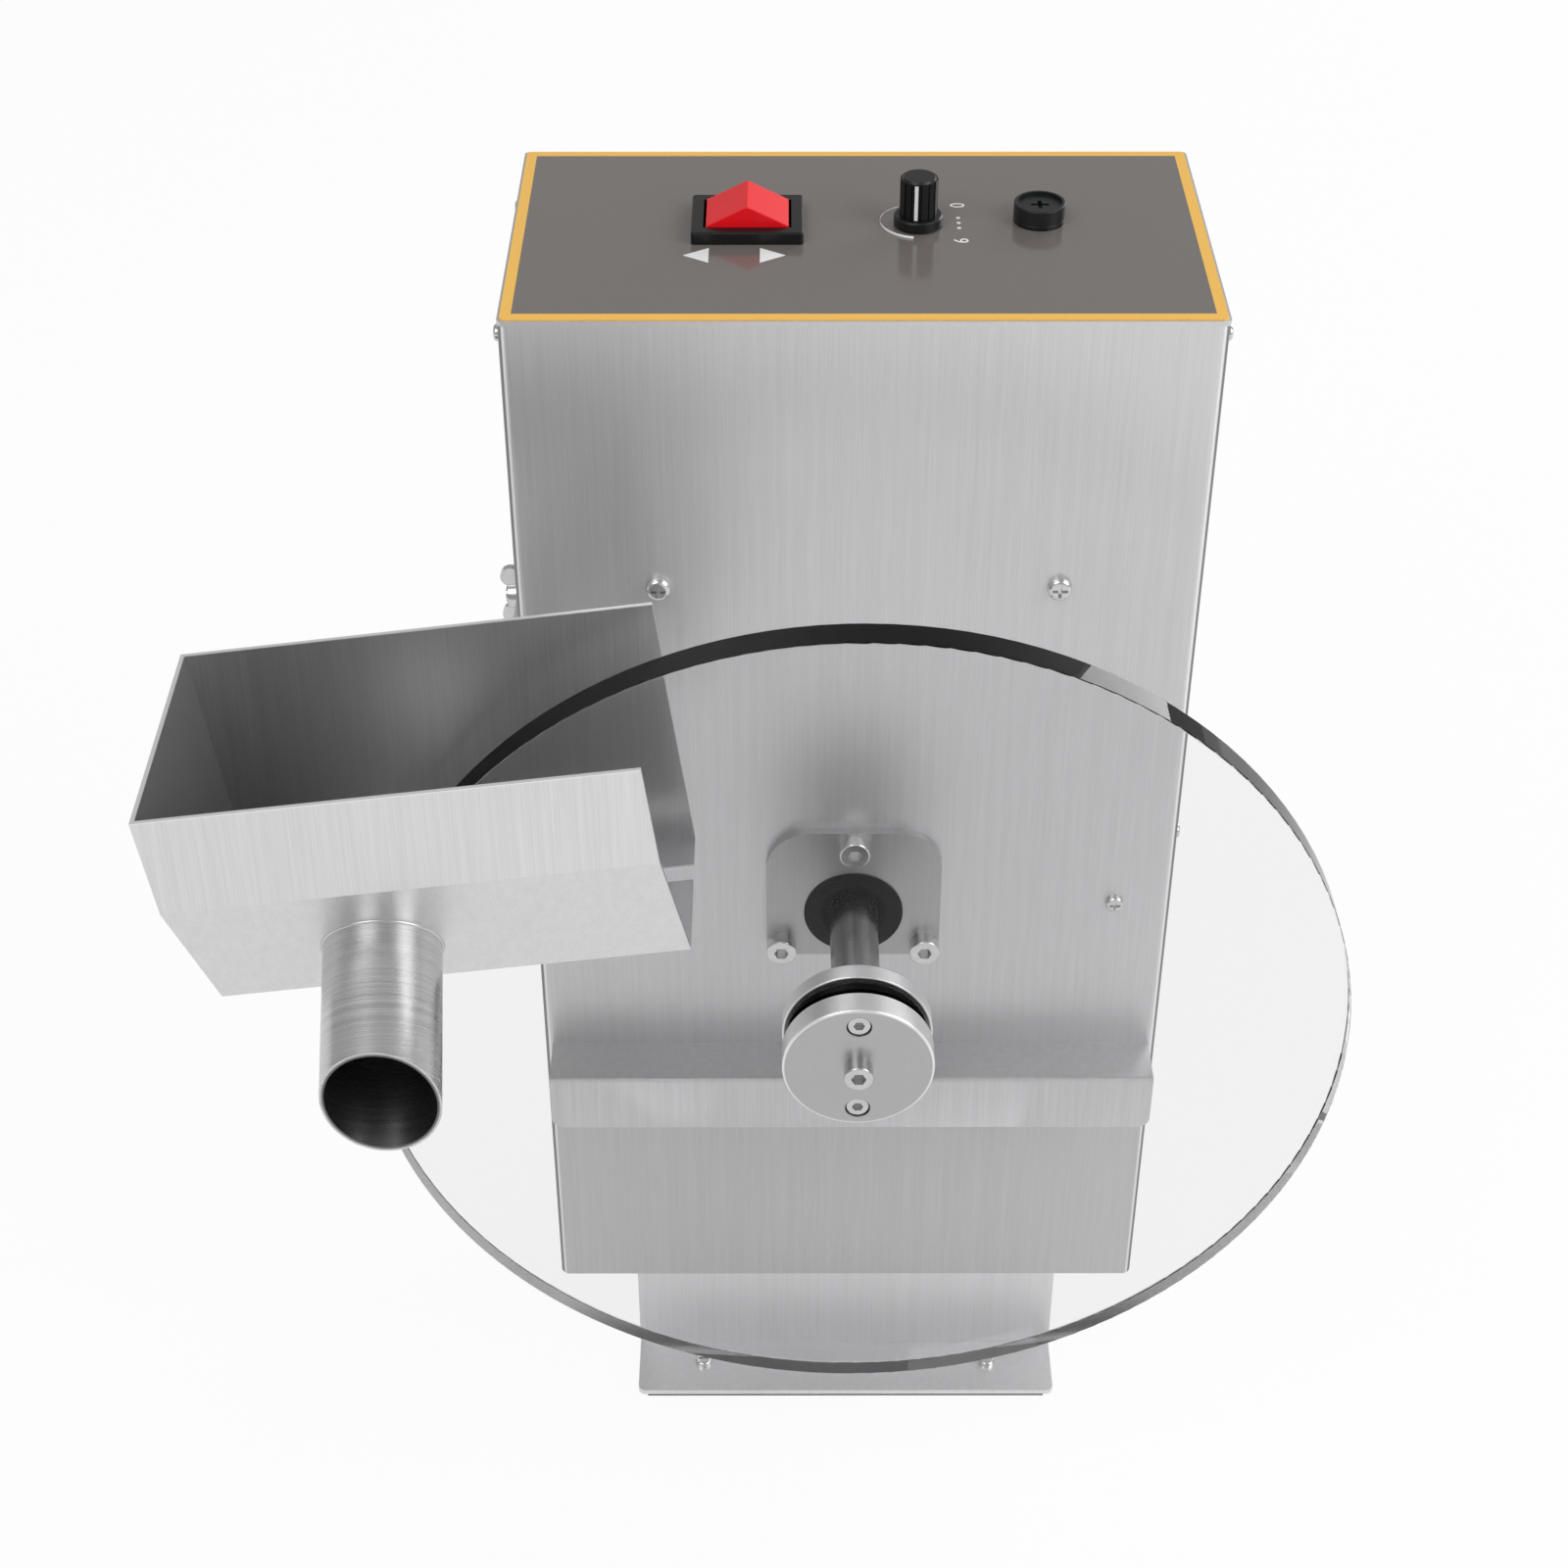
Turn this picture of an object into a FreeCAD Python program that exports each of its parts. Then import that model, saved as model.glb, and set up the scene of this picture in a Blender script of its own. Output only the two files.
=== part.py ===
"""Bench chocolate wheel mixer, built from named sheet-metal, drive and hopper parts.

Axes: +X to the operator's right, +Y to the rear, +Z up. The origin lies on the bench,
in the plane of the casing's front panel and on the machine's centre plane. Millimetres.
"""
import FreeCAD, Part
import math
import os

import Sketcher

doc = FreeCAD.newDocument("ChocolateWheelMixer")
V = FreeCAD.Vector

VALUES = [
    # casing
    ("casing_width", 200.0, "outside width of the casing"),
    ("casing_depth", 109.0, "front panel to rear cover"),
    ("casing_top", 411.0, "lid's upper face above the bench"),
    ("casing_bottom", 40.5, "lower edge of the panels above the bench"),
    ("sheet", 1.5, "stainless sheet thickness"),
    ("bend_outer", 3.0, "outer radius of the panel bends"),
    ("slip", 0.15, "gap between nested sheets"),
    ("flange_depth", 12.0, "folded edges of lid and covers"),
    ("overlay_inset", 0.7, "overlay edge behind the lid's edge"),
    ("overlay_thick", 0.4, "printed overlay"),
    # feet and tank hook
    ("foot_width", 146.4, "width of both feet"),
    ("foot_reach", 26.7, "foot flange beyond the panel"),
    ("foot_sheet", 2.0, "foot sheet thickness"),
    ("pad_height", 2.5, "rubber strip under each foot"),
    ("foot_screw_x", 50.4, "foot screw from the centre plane"),
    ("foot_screw_y", 13.8, "foot screw from the panel"),
    ("hook_width", 195.0, "width of the tank hook"),
    ("hook_top", 150.2, "upper face of the hook's ledge"),
    ("hook_reach", 17.6, "ledge beyond the panel"),
    ("hook_drop", 21.2, "height of the hook's lip"),
    # drive
    ("axis_height", 208.3, "wheel axis above the bench"),
    ("shaft_dia", 15.0, "drive shaft"),
    ("seal_dia", 30.9, "shaft seal outside"),
    ("flange_half_width", 27.2, "bearing flange half width"),
    ("flange_top", 31.2, "bearing flange above the axis"),
    ("flange_bottom", 17.4, "bearing flange below the axis"),
    ("flange_thick", 3.0, "bearing flange plate"),
    ("flange_round", 14.0, "upper corners of the bearing flange"),
    ("bearing_dia", 32.0, "outside of the front bearing"),
    ("bearing_width", 9.0, "width of the front bearing"),
    ("centre_distance", 31.0, "worm axis from wheel axis"),
    ("worm_dia", 17.0, "worm outside diameter"),
    ("gear_dia", 50.0, "worm wheel outside diameter"),
    ("gear_width", 16.0, "worm wheel face width"),
    ("gear_y", 52.0, "worm wheel's middle behind the panel"),
    ("motor_dia", 66.0, "motor can"),
    ("motor_length", 104.0, "motor can length"),
    # wheel
    ("disc_dia", 289.8, "clear wheel"),
    ("disc_thick", 9.6, "clear wheel thickness"),
    ("disc_front", 69.8, "wheel's front face before the panel"),
    ("clamp_dia", 45.0, "clamp discs"),
    ("clamp_thick", 7.8, "front clamp disc"),
    ("collar_thick", 5.8, "rear collar's flange"),
    ("gasket", 0.8, "black gaskets at the wheel"),
    ("clamp_screw_offset", 16.1, "clamp screws from the axis"),
    # hopper
    ("hopper_x", 57.6, "rim's right corner left of the centre plane"),
    ("hopper_z", 350.4, "rim's right corner above the bench"),
    ("hopper_rear", 46.0, "rear wall before the panel"),
    ("hopper_length", 131.3, "rim length"),
    ("hopper_width", 75.8, "rear wall to front wall"),
    ("hopper_roll", 7.5, "slope of the trough to its left end"),
    ("hopper_fold", 30.1, "rim to fold"),
    ("hopper_depth", 79.0, "rim to floor"),
    ("hopper_floor", 53.1, "width of the floor"),
    ("hopper_sheet", 1.2, "hopper sheet"),
    ("slot_gap", 0.6, "floor slot's clearance beside the wheel"),
    ("slot_end", 141.5, "slot's closed end left of the centre plane"),
    ("spout_dia", 32.0, "spout outside"),
    ("spout_wall", 1.2, "spout wall"),
    ("spout_x", 80.5, "spout left of the rim's right corner"),
    ("spout_drop", 32.5, "spout centre below the fold, along the slope"),
    ("spout_end", 148.7, "spout's cut end before the panel"),
    ("arm_width", 26.0, "hopper arm strip"),
    ("arm_sheet", 2.0, "hopper arm thickness"),
    ("stud_y", 44.0, "wing stud behind the panel"),
    ("stud_z", 294.0, "wing stud above the bench"),
    ("stud_dia", 5.0, "wing stud"),
    ("arm_travel_up", 10.0, "hopper slides up by this much"),
    ("arm_travel_down", 6.0, "hopper slides down by this much"),
    # controls
    ("switch_x", 32.2, "rocker switch left of the centre plane"),
    ("switch_y", 58.2, "rocker switch behind the panel"),
    ("bezel_x", 32.1, "switch bezel along X"),
    ("bezel_y", 25.4, "switch bezel along Y"),
    ("bezel_height", 3.7, "switch bezel above the lid"),
    ("rocker_x", 24.4, "rocker along X"),
    ("rocker_y", 17.8, "rocker along Y"),
    ("knob_x", 16.9, "speed knob right of the centre plane"),
    ("knob_y", 58.6, "speed knob behind the panel"),
    ("knob_dia", 10.9, "knob grip"),
    ("skirt_dia", 14.1, "knob skirt"),
    ("knob_height", 15.4, "knob above the lid"),
    ("fuse_x", 52.0, "fuse holder right of the centre plane"),
    ("fuse_y", 61.4, "fuse holder behind the panel"),
    ("fuse_dia", 15.0, "fuse holder collar"),
    ("fuse_height", 6.3, "fuse cap above the lid"),
]


class Dim:
    """A length that keeps its number and the spreadsheet expression behind it."""

    def __init__(self, num, text):
        self.num = float(num)
        self.text = text

    def join(self, other, sign, number):
        text = other.text if isinstance(other, Dim) else repr(float(other))
        return Dim(number, "(%s %s %s)" % (self.text, sign, text))

    def __add__(self, other):
        return self.join(other, "+", self.num + value(other))

    def __sub__(self, other):
        return self.join(other, "-", self.num - value(other))

    def __mul__(self, other):
        return self.join(other, "*", self.num * value(other))

    def __truediv__(self, other):
        return self.join(other, "/", self.num / value(other))

    def __radd__(self, other):
        return dim(other) + self

    def __rsub__(self, other):
        return dim(other) - self

    def __rmul__(self, other):
        return dim(other) * self

    def __neg__(self):
        return dim(0) - self


def value(thing):
    return thing.num if isinstance(thing, Dim) else float(thing)


def dim(thing):
    return thing if isinstance(thing, Dim) else Dim(thing, repr(float(thing)))


def sine(angle):
    return Dim(math.sin(math.radians(value(angle))), "sin(%s * 1 deg)" % dim(angle).text)


def cosine(angle):
    return Dim(math.cos(math.radians(value(angle))), "cos(%s * 1 deg)" % dim(angle).text)


class Sizes:
    """The spreadsheet's named values as Dim attributes."""

    def __init__(self, rows):
        sheet = doc.addObject("Spreadsheet::Sheet", "v")
        for i, (name, number, note) in enumerate(rows, start=1):
            sheet.set("A%d" % i, name)
            sheet.set("B%d" % i, str(number))
            sheet.set("C%d" % i, note)
            sheet.setAlias("B%d" % i, name)
            setattr(self, name, Dim(number, "v." + name))


s = Sizes(VALUES)
doc.recompute()
count = [0]


def unique(stem):
    count[0] += 1
    return "%s_%03d" % (stem, count[0])


def bind(obj, prop, amount):
    """Set a property from the sheet, or plainly where it is a constant."""
    if isinstance(amount, Dim):
        obj.setExpression(prop, amount.text)
    else:
        obj.setExpression(prop, repr(float(amount)))


def place(obj, x=0, y=0, z=0, turn=None):
    """Put an object at a bound position; turn is (axis, degrees)."""
    if turn is not None:
        axis, degrees = turn
        obj.Placement = FreeCAD.Placement(V(0, 0, 0), FreeCAD.Rotation(V(*axis), value(degrees)))
        if isinstance(degrees, Dim):
            bind(obj, "Placement.Rotation.Angle", degrees)
    bind(obj, "Placement.Base.x", x)
    bind(obj, "Placement.Base.y", y)
    bind(obj, "Placement.Base.z", z)
    return obj


TURNS = {"X": ((0, 1, 0), 90), "-X": ((0, 1, 0), -90), "Y": ((1, 0, 0), -90),
         "-Y": ((1, 0, 0), 90), "Z": None, "-Z": ((1, 0, 0), 180)}


def box(x, y, z, dx, dy, dz):
    """A box from its low corner and its three sizes."""
    obj = doc.addObject("Part::Box", unique("box"))
    bind(obj, "Length", dx)
    bind(obj, "Width", dy)
    bind(obj, "Height", dz)
    return place(obj, x, y, z)


def rod(axis, x, y, z, radius, length):
    """A cylinder that starts at x, y, z and runs along a signed axis name."""
    obj = doc.addObject("Part::Cylinder", unique("rod"))
    bind(obj, "Radius", radius)
    bind(obj, "Height", length)
    return place(obj, x, y, z, TURNS[axis])


def cone(axis, x, y, z, radius, tip, length):
    obj = doc.addObject("Part::Cone", unique("cone"))
    bind(obj, "Radius1", radius)
    bind(obj, "Radius2", tip)
    bind(obj, "Height", length)
    return place(obj, x, y, z, TURNS[axis])


def hexagon(axis, x, y, z, flats, length):
    """A hexagonal prism measured across its flats."""
    obj = doc.addObject("Part::Prism", unique("hexagon"))
    obj.Polygon = 6
    bind(obj, "Circumradius", dim(flats) / math.sqrt(3))
    bind(obj, "Height", length)
    return place(obj, x, y, z, TURNS[axis])


def cut(base, *tools):
    obj = doc.addObject("Part::Cut", unique("cut"))
    obj.Base = base
    obj.Tool = tools[0] if len(tools) == 1 else fuse(*tools)
    return obj


def fuse(*parts):
    if len(parts) == 1:
        return parts[0]
    obj = doc.addObject("Part::MultiFuse", unique("fuse"))
    obj.Shapes = list(parts)
    obj.Refine = True
    return obj


def group(*parts):
    """Separate solids kept together as one node."""
    obj = doc.addObject("Part::Compound", unique("group"))
    obj.Links = list(parts)
    return obj


def copy_at(source, axis, x, y, z):
    """A copy of a part that was built at the origin along +Z."""
    obj = doc.addObject("Part::Compound", unique("copy"))
    obj.Links = [source]
    return place(obj, x, y, z, TURNS[axis])


def rounded(base, radius, pick):
    """Fillet the straight or round edges that pick(edge) chooses."""
    doc.recompute()
    chosen = [i + 1 for i, e in enumerate(base.Shape.Edges) if pick(e)]
    if not chosen:
        raise RuntimeError("no edge to round on " + base.Name)
    obj = doc.addObject("Part::Fillet", unique("round"))
    obj.Base = base
    obj.Edges = [(i, value(radius), value(radius)) for i in chosen]
    return obj


def along(edge, axis):
    """True for a straight edge that runs along the axis vector."""
    if edge.Curve.TypeId != "Part::GeomLine":
        return False
    way = edge.tangentAt(edge.FirstParameter)
    return abs(way.dot(V(*axis))) > 0.999


def mid(edge):
    return edge.BoundBox.Center


def prism(plane, points, length, x=0, y=0, z=0, back=False, turn=None):
    """A padded polygon sketch on one of the body's own origin planes."""
    body = doc.addObject("PartDesign::Body", unique("body"))
    sketch = body.newObject("Sketcher::SketchObject", unique("sketch"))
    role = {"XY": "XY_Plane", "XZ": "XZ_Plane", "YZ": "YZ_Plane"}[plane]
    host = [f for f in body.Origin.OriginFeatures if f.Role == role][0]
    sketch.AttachmentSupport = [(host, "")]
    sketch.MapMode = "FlatFace"
    total = len(points)
    for i in range(total):
        a, b = points[i], points[(i + 1) % total]
        line = Part.LineSegment(V(value(a[0]), value(a[1]), 0), V(value(b[0]), value(b[1]), 0))
        sketch.addGeometry(line, False)
    for i in range(total):
        sketch.addConstraint(Sketcher.Constraint("Coincident", i, 2, (i + 1) % total, 1))
    for i, (u, w) in enumerate(points):
        for kind, amount in (("DistanceX", u), ("DistanceY", w)):
            item = Sketcher.Constraint(kind, -1, 1, i, 1, value(amount))
            index = sketch.addConstraint(item)
            if isinstance(amount, Dim):
                sketch.setExpression("Constraints[%d]" % index, amount.text)
    pad = body.newObject("PartDesign::Pad", unique("pad"))
    pad.Profile = sketch
    pad.Reversed = back
    bind(pad, "Length", length)
    return place(body, x, y, z, turn)


NODES = {}


def node(name, obj):
    """Register a finished sub-part under its node name."""
    obj.Label = name
    NODES[name] = obj
    return obj

# Shared positions
half = s.casing_width / 2
wall = half - s.sheet
inner = wall - s.slip
depth = s.casing_depth
lid_low = s.casing_top - s.sheet
face = s.casing_top + s.overlay_thick
axis = s.axis_height
flange_low = s.pad_height + s.foot_sheet
upper_screw = (58.2, s.casing_top - 85.8)
lower_screw = (82.1, s.casing_top - 201.2)
side_screw_z = s.casing_top - 179.5
flange_spots = [(0, 26.1), (22.6, -13.05), (-22.6, -13.05)]
worm_x = s.centre_distance
disc_rear = s.disc_front - s.disc_thick
clamp_front = s.disc_front + s.gasket + s.clamp_thick
collar_rear = disc_rear - s.gasket - s.collar_thick
slope = Dim(math.degrees(math.atan((s.hopper_width.num - s.hopper_floor.num)
                                   / (s.hopper_depth.num - s.hopper_fold.num))),
            "(atan((v.hopper_width - v.hopper_floor) / (v.hopper_depth - v.hopper_fold)) / 1 deg)")


def pan_screw(head, height, shank, length, recess):
    """A cross-recessed pan-head screw at the origin; the head rises along +Z."""
    top = rounded(rod("Z", 0, 0, 0, head / 2, height), height * 0.55,
                  lambda e: abs(mid(e).z - height) < 1e-6)
    body = fuse(top, rod("Z", 0, 0, -length, shank / 2, length))
    arm = recess * 0.22
    cross = fuse(box(-recess / 2, -arm / 2, height - 1.2, recess, arm, 2),
                 box(-arm / 2, -recess / 2, height - 1.2, arm, recess, 2))
    return cut(body, cross)


def cap_screw(head, height, shank, length, key):
    """A hexagon-socket cap screw at the origin; the head rises along +Z."""
    top = rounded(rod("Z", 0, 0, 0, head / 2, height), 0.5,
                  lambda e: abs(mid(e).z - height) < 1e-6)
    body = fuse(top, rod("Z", 0, 0, -length, shank / 2, length))
    return cut(body, hexagon("Z", 0, 0, height * 0.45, key, height))


def build_casing():
    """The U-shaped shell, its lid, covers and the printed overlay."""
    outer = box(-half, 0, s.casing_bottom, s.casing_width, depth, lid_low - s.casing_bottom)
    shell = rounded(outer, s.bend_outer,
                    lambda e: along(e, (0, 0, 1)) and mid(e).y < 1)
    core = rounded(box(-wall, s.sheet, s.casing_bottom - 1, wall * 2, depth + 5, 400),
                   s.bend_outer - s.sheet,
                   lambda e: along(e, (0, 0, 1)) and mid(e).y < 5)
    holes = [rod("Y", 0, -5, axis, s.seal_dia / 2 + 0.1, 12)]
    for (x, z), r in ((upper_screw, 1.75), (lower_screw, 1.55)):
        holes += [rod("Y", side * x, -5, z, r, 12) for side in (1, -1)]
    holes += [rod("Y", x, -5, axis + z, 2.6, 12) for x, z in flange_spots]
    holes += [rod("X", -110, y, z, 1.55, 220) for y, z in side_spots()]
    holes.append(rod("X", -110, s.stud_y, s.stud_z, s.stud_dia / 2 + 0.1, 20))
    node("casing", cut(shell, core, *holes))

    plate = rounded(box(-half, 0, lid_low, s.casing_width, depth, s.sheet), 1.5,
                    lambda e: along(e, (0, 0, 1)))
    low = lid_low - s.flange_depth
    folds = [box(inner - s.sheet, 6, low, s.sheet, 84, s.flange_depth + 0.5),
             box(-inner, 6, low, s.sheet, 84, s.flange_depth + 0.5)]
    folds.append(box(-70, s.sheet + s.slip, low, 140, s.sheet, s.flange_depth + 0.5))
    drills = control_holes(lid_low - 3, 8)
    drills += [rod("X", -110, y, lid_low - 6, 1.3, 220) for y in lid_screw_y()]
    node("lid", cut(fuse(plate, *folds), *drills))

    inset = s.overlay_inset
    skin = rounded(box(-half + inset, inset, s.casing_top, s.casing_width - inset * 2,
                       depth - inset * 2, s.overlay_thick), 1.5,
                   lambda e: along(e, (0, 0, 1)))
    node("control_overlay", cut(skin, *control_holes(s.casing_top - 2, 5)))
    build_covers()


def side_spots():
    """(y, z) of every screw hole that goes through both side walls."""
    spots = [(y, lid_low - 6) for y in lid_screw_y()]
    spots += [(depth - 8, z) for z in (62.0, 225.0, 388.0)]
    spots.append((9.0, side_screw_z))
    return spots


def lid_screw_y():
    return (8.0, 86.0)


def control_holes(low, length):
    """Cut-outs for the switch, the speed control and the fuse holder."""
    return [box(-s.switch_x - 13.9, s.switch_y - 10.8, low, 27.8, 21.6, length),
            rod("Z", s.knob_x, s.knob_y, low, 3.6, length),
            rod("Z", s.fuse_x, s.fuse_y, low, 6.1, length)]


def build_covers():
    """Rear cover with vents and bottom plate."""
    gap = s.casing_bottom + s.sheet + s.slip
    tall = lid_low - gap - s.slip
    sheet = box(-inner, depth - s.sheet, gap, inner * 2, s.sheet, tall)
    folds = [box(x, depth - 14, gap, s.sheet, 14 - s.sheet, tall) for x in (-inner, inner - s.sheet)]
    vents = []
    for row in (150.0, 320.0):
        vents += [box(-46.5 + 10 * i, depth - 5, row, 3, 10, 30) for i in range(10)]
    drills = [rod("X", -110, depth - 8, z, 1.3, 220) for z in (62.0, 225.0, 388.0)]
    inlet = [box(-58.6, depth - 5, 70, 27.2, 10, 20.2)]
    inlet += [rod("Y", x, depth - 5, 80, 1.6, 10) for x in (-65, -25)]
    node("rear_cover", cut(fuse(sheet, *folds), *(vents + drills + inlet)))

    floor = box(-inner, s.sheet + s.slip, s.casing_bottom, inner * 2,
                depth - s.sheet * 2 - s.slip * 2, s.sheet)
    edges = [box(x, 8, s.casing_bottom, s.sheet, 84, s.flange_depth)
             for x in (-inner, inner - s.sheet)]
    drills = [rod("Z", x, y, s.casing_bottom - 2, 2.1, 6)
              for x in (-50, 50) for y in (14, depth - 14)]
    vents = [box(-33 + 12 * i, 36, s.casing_bottom - 2, 4, 36, 6) for i in range(6)]
    node("bottom_plate", cut(fuse(floor, *edges), *(drills + vents)))


def foot_profile(flip):
    """The foot's Z section in Y and Z; flip mirrors it to the rear."""
    def at(y):
        return depth - y if flip else dim(y)
    low, top = s.pad_height, s.casing_bottom
    t = s.foot_sheet
    return [(at(-s.foot_reach), low), (at(0.3 + t), low), (at(0.3 + t), top - t),
            (at(27), top - t), (at(27), top), (at(0.3), top), (at(0.3), low + t),
            (at(-s.foot_reach), low + t)]


def build_feet():
    """Two Z-section feet on rubber strips, with their screws."""
    for name, flip in (("front_foot", False), ("rear_foot", True)):
        bar = prism("YZ", foot_profile(flip), s.foot_width, x=-s.foot_width / 2)
        edge = depth + s.foot_reach if flip else -s.foot_reach
        bar = rounded(bar, 2.5, lambda e: along(e, (0, 0, 1)) and abs(mid(e).y - value(edge)) < 0.5)
        bend = value(depth) - 0.3 - value(s.foot_sheet) if flip else 0.3 + value(s.foot_sheet)
        bar = rounded(bar, 2.2, lambda e: along(e, (1, 0, 0)) and abs(mid(e).y - bend) < 0.1
                      and mid(e).z < value(s.pad_height) + 0.1)
        y = depth + s.foot_screw_y if flip else -s.foot_screw_y
        holes = [rod("Z", x, y, 1, 1.6, 6) for x in (-s.foot_screw_x, s.foot_screw_x)]
        rear = depth - 14 if flip else dim(14)
        holes += [rod("Z", x, rear, s.casing_bottom - 4, 2.1, 6) for x in (-50, 50)]
        node(name, cut(bar, *holes))
    pads = []
    for y in (-25.2, depth - 2.2):
        pad = box(-70, y, 0, 140, 27.4, s.pad_height)
        pads.append(pad)
    marks = [rod("Z", x, y, 0.6, 1.6, 4) for x in (-s.foot_screw_x, s.foot_screw_x)
             for y in (-s.foot_screw_y, depth + s.foot_screw_y)]
    node("foot_strips", group(*[cut(pads[0], marks[0], marks[2]), cut(pads[1], marks[1], marks[3])]))

    small = pan_screw(6.0, 2.2, 3.0, 3.6, 3.4)
    spots = [(x, y) for x in (-s.foot_screw_x, s.foot_screw_x)
             for y in (-s.foot_screw_y, depth + s.foot_screw_y)]
    node("foot_screws", group(*[copy_at(small, "Z", x, y, flange_low) for x, y in spots]))
    bolt = pan_screw(7.4, 2.6, 4.0, 6.0, 4.2)
    spots = [(x, y) for x in (-50, 50) for y in (14, depth - 14)]
    node("foot_bolts", group(*[copy_at(bolt, "-Z", x, y, s.casing_bottom - s.foot_sheet)
                               for x, y in spots]))


def build_hook():
    """The inverted channel that hangs over a tank's rim."""
    top, t = s.hook_top, s.sheet
    low = top - s.hook_drop
    reach = -s.hook_reach
    section = [(0, low), (0, top), (reach, top), (reach, low), (reach + t, low),
               (reach + t, top - t), (-t, top - t), (-t, low)]
    bar = prism("YZ", section, s.hook_width, x=-s.hook_width / 2)
    bar = rounded(bar, 1.4, lambda e: along(e, (1, 0, 0)) and mid(e).z > value(top) - 0.1
                  and mid(e).y < -5)
    bar = rounded(bar, 4.0, lambda e: along(e, (0, 1, 0)) and mid(e).z < value(low) + 0.1
                  and mid(e).y < -10)
    node("rim_hook", bar)


def build_fasteners():
    """Screws that show on the casing's front and sides."""
    front = pan_screw(7.2, 2.7, 3.5, 6.0, 4.4)
    x, z = upper_screw
    node("panel_screws", group(*[copy_at(front, "-Y", side * x, 0, z) for side in (1, -1)]))
    tiny = pan_screw(4.8, 1.7, 2.5, 4.5, 2.8)
    pairs = [(way, x, y, z) for y, z in side_spots() for way, x in (("X", half), ("-X", -half))]
    node("side_screws", group(*[copy_at(tiny, way, x, y, z) for way, x, y, z in pairs]))


def build_mounting():
    """Parts that carry the shaft and the gearbox behind the front panel."""
    back = s.sheet + s.slip
    plate = box(-inner + 2, back, axis - 56, (inner - 2) * 2, 3, 108)
    ears = [box(x, back + 1.5, axis + 6, 3, 12.5, 34) for x in (-inner + 0.2, inner - 3.2)]
    holes = [rod("Y", 0, -2, axis, s.seal_dia / 2 + 0.1, 12)]
    holes += [rod("Y", x, -2, axis + z, 2.6, 12) for x, z in flange_spots]
    holes += [rod("Y", side * lower_screw[0], -2, lower_screw[1], 1.51, 12) for side in (1, -1)]
    holes += [rod("X", -110, 9, side_screw_z, 1.26, 220)]
    holes += [rod("Y", x, -2, axis + z, 2.1, 12) for x, z in gearbox_spots()]
    node("mount_plate", cut(fuse(plate, *ears), *holes))

    base = back + 3
    ring = rod("Y", 0, base, axis, 24, 15)
    ring = fuse(ring, rod("Y", 0, base, axis, 34, 4))
    bore = [rod("Y", 0, base - 1, axis, s.bearing_dia / 2 + 0.02, 3 + s.bearing_width),
            rod("Y", 0, base - 1, axis, 12, 20)]
    bore += [rod("Y", x, base - 1, axis + z, 2.52, 8) for x, z in flange_spots]
    node("bearing_housing", cut(ring, *bore))
    race = cut(rod("Y", 0, base + 2, axis, s.bearing_dia / 2, s.bearing_width),
               rod("Y", 0, base - 5, axis, s.shaft_dia / 2 + 0.03, 30),
               cut(rod("Y", 0, base + 1, axis, 13.2, 2), rod("Y", 0, base, axis, 10.2, 4)),
               cut(rod("Y", 0, base + 10, axis, 13.2, 2), rod("Y", 0, base + 9, axis, 10.2, 4)))
    node("front_bearing", race)

    half_w, up, down = s.flange_half_width, s.flange_top, s.flange_bottom
    plate = box(-half_w, -s.flange_thick, axis - down, half_w * 2, s.flange_thick, up + down)
    plate = rounded(plate, s.flange_round,
                    lambda e: along(e, (0, 1, 0)) and mid(e).z > value(axis))
    plate = rounded(plate, 3.0, lambda e: along(e, (0, 1, 0)) and mid(e).z < value(axis)
                    and abs(mid(e).x) > value(half_w) - 0.1)
    holes = [rod("Y", 0, -8, axis, s.seal_dia / 2 + 0.02, 12)]
    holes += [rod("Y", x, -8, axis + z, 2.6, 12) for x, z in flange_spots]
    node("bearing_flange", cut(plate, *holes))
    bolt = cap_screw(9.4, 5.0, 5.0, 11.5, 4.0)
    node("flange_screws", group(*[copy_at(bolt, "-Y", x, -s.flange_thick, axis + z)
                                  for x, z in flange_spots]))
    seal = cut(rod("Y", 0, -s.flange_thick - 0.5, axis, s.seal_dia / 2, 9.5),
               rod("Y", 0, -20, axis, s.shaft_dia / 2 + 0.05, 40),
               cone("Y", 0, -s.flange_thick - 0.6, axis, 10.5, 8.2, 1.6))
    node("shaft_seal", seal)


def gearbox_spots():
    return [(-30, -32), (-30, 36), (44, -32), (44, 36)]


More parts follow.
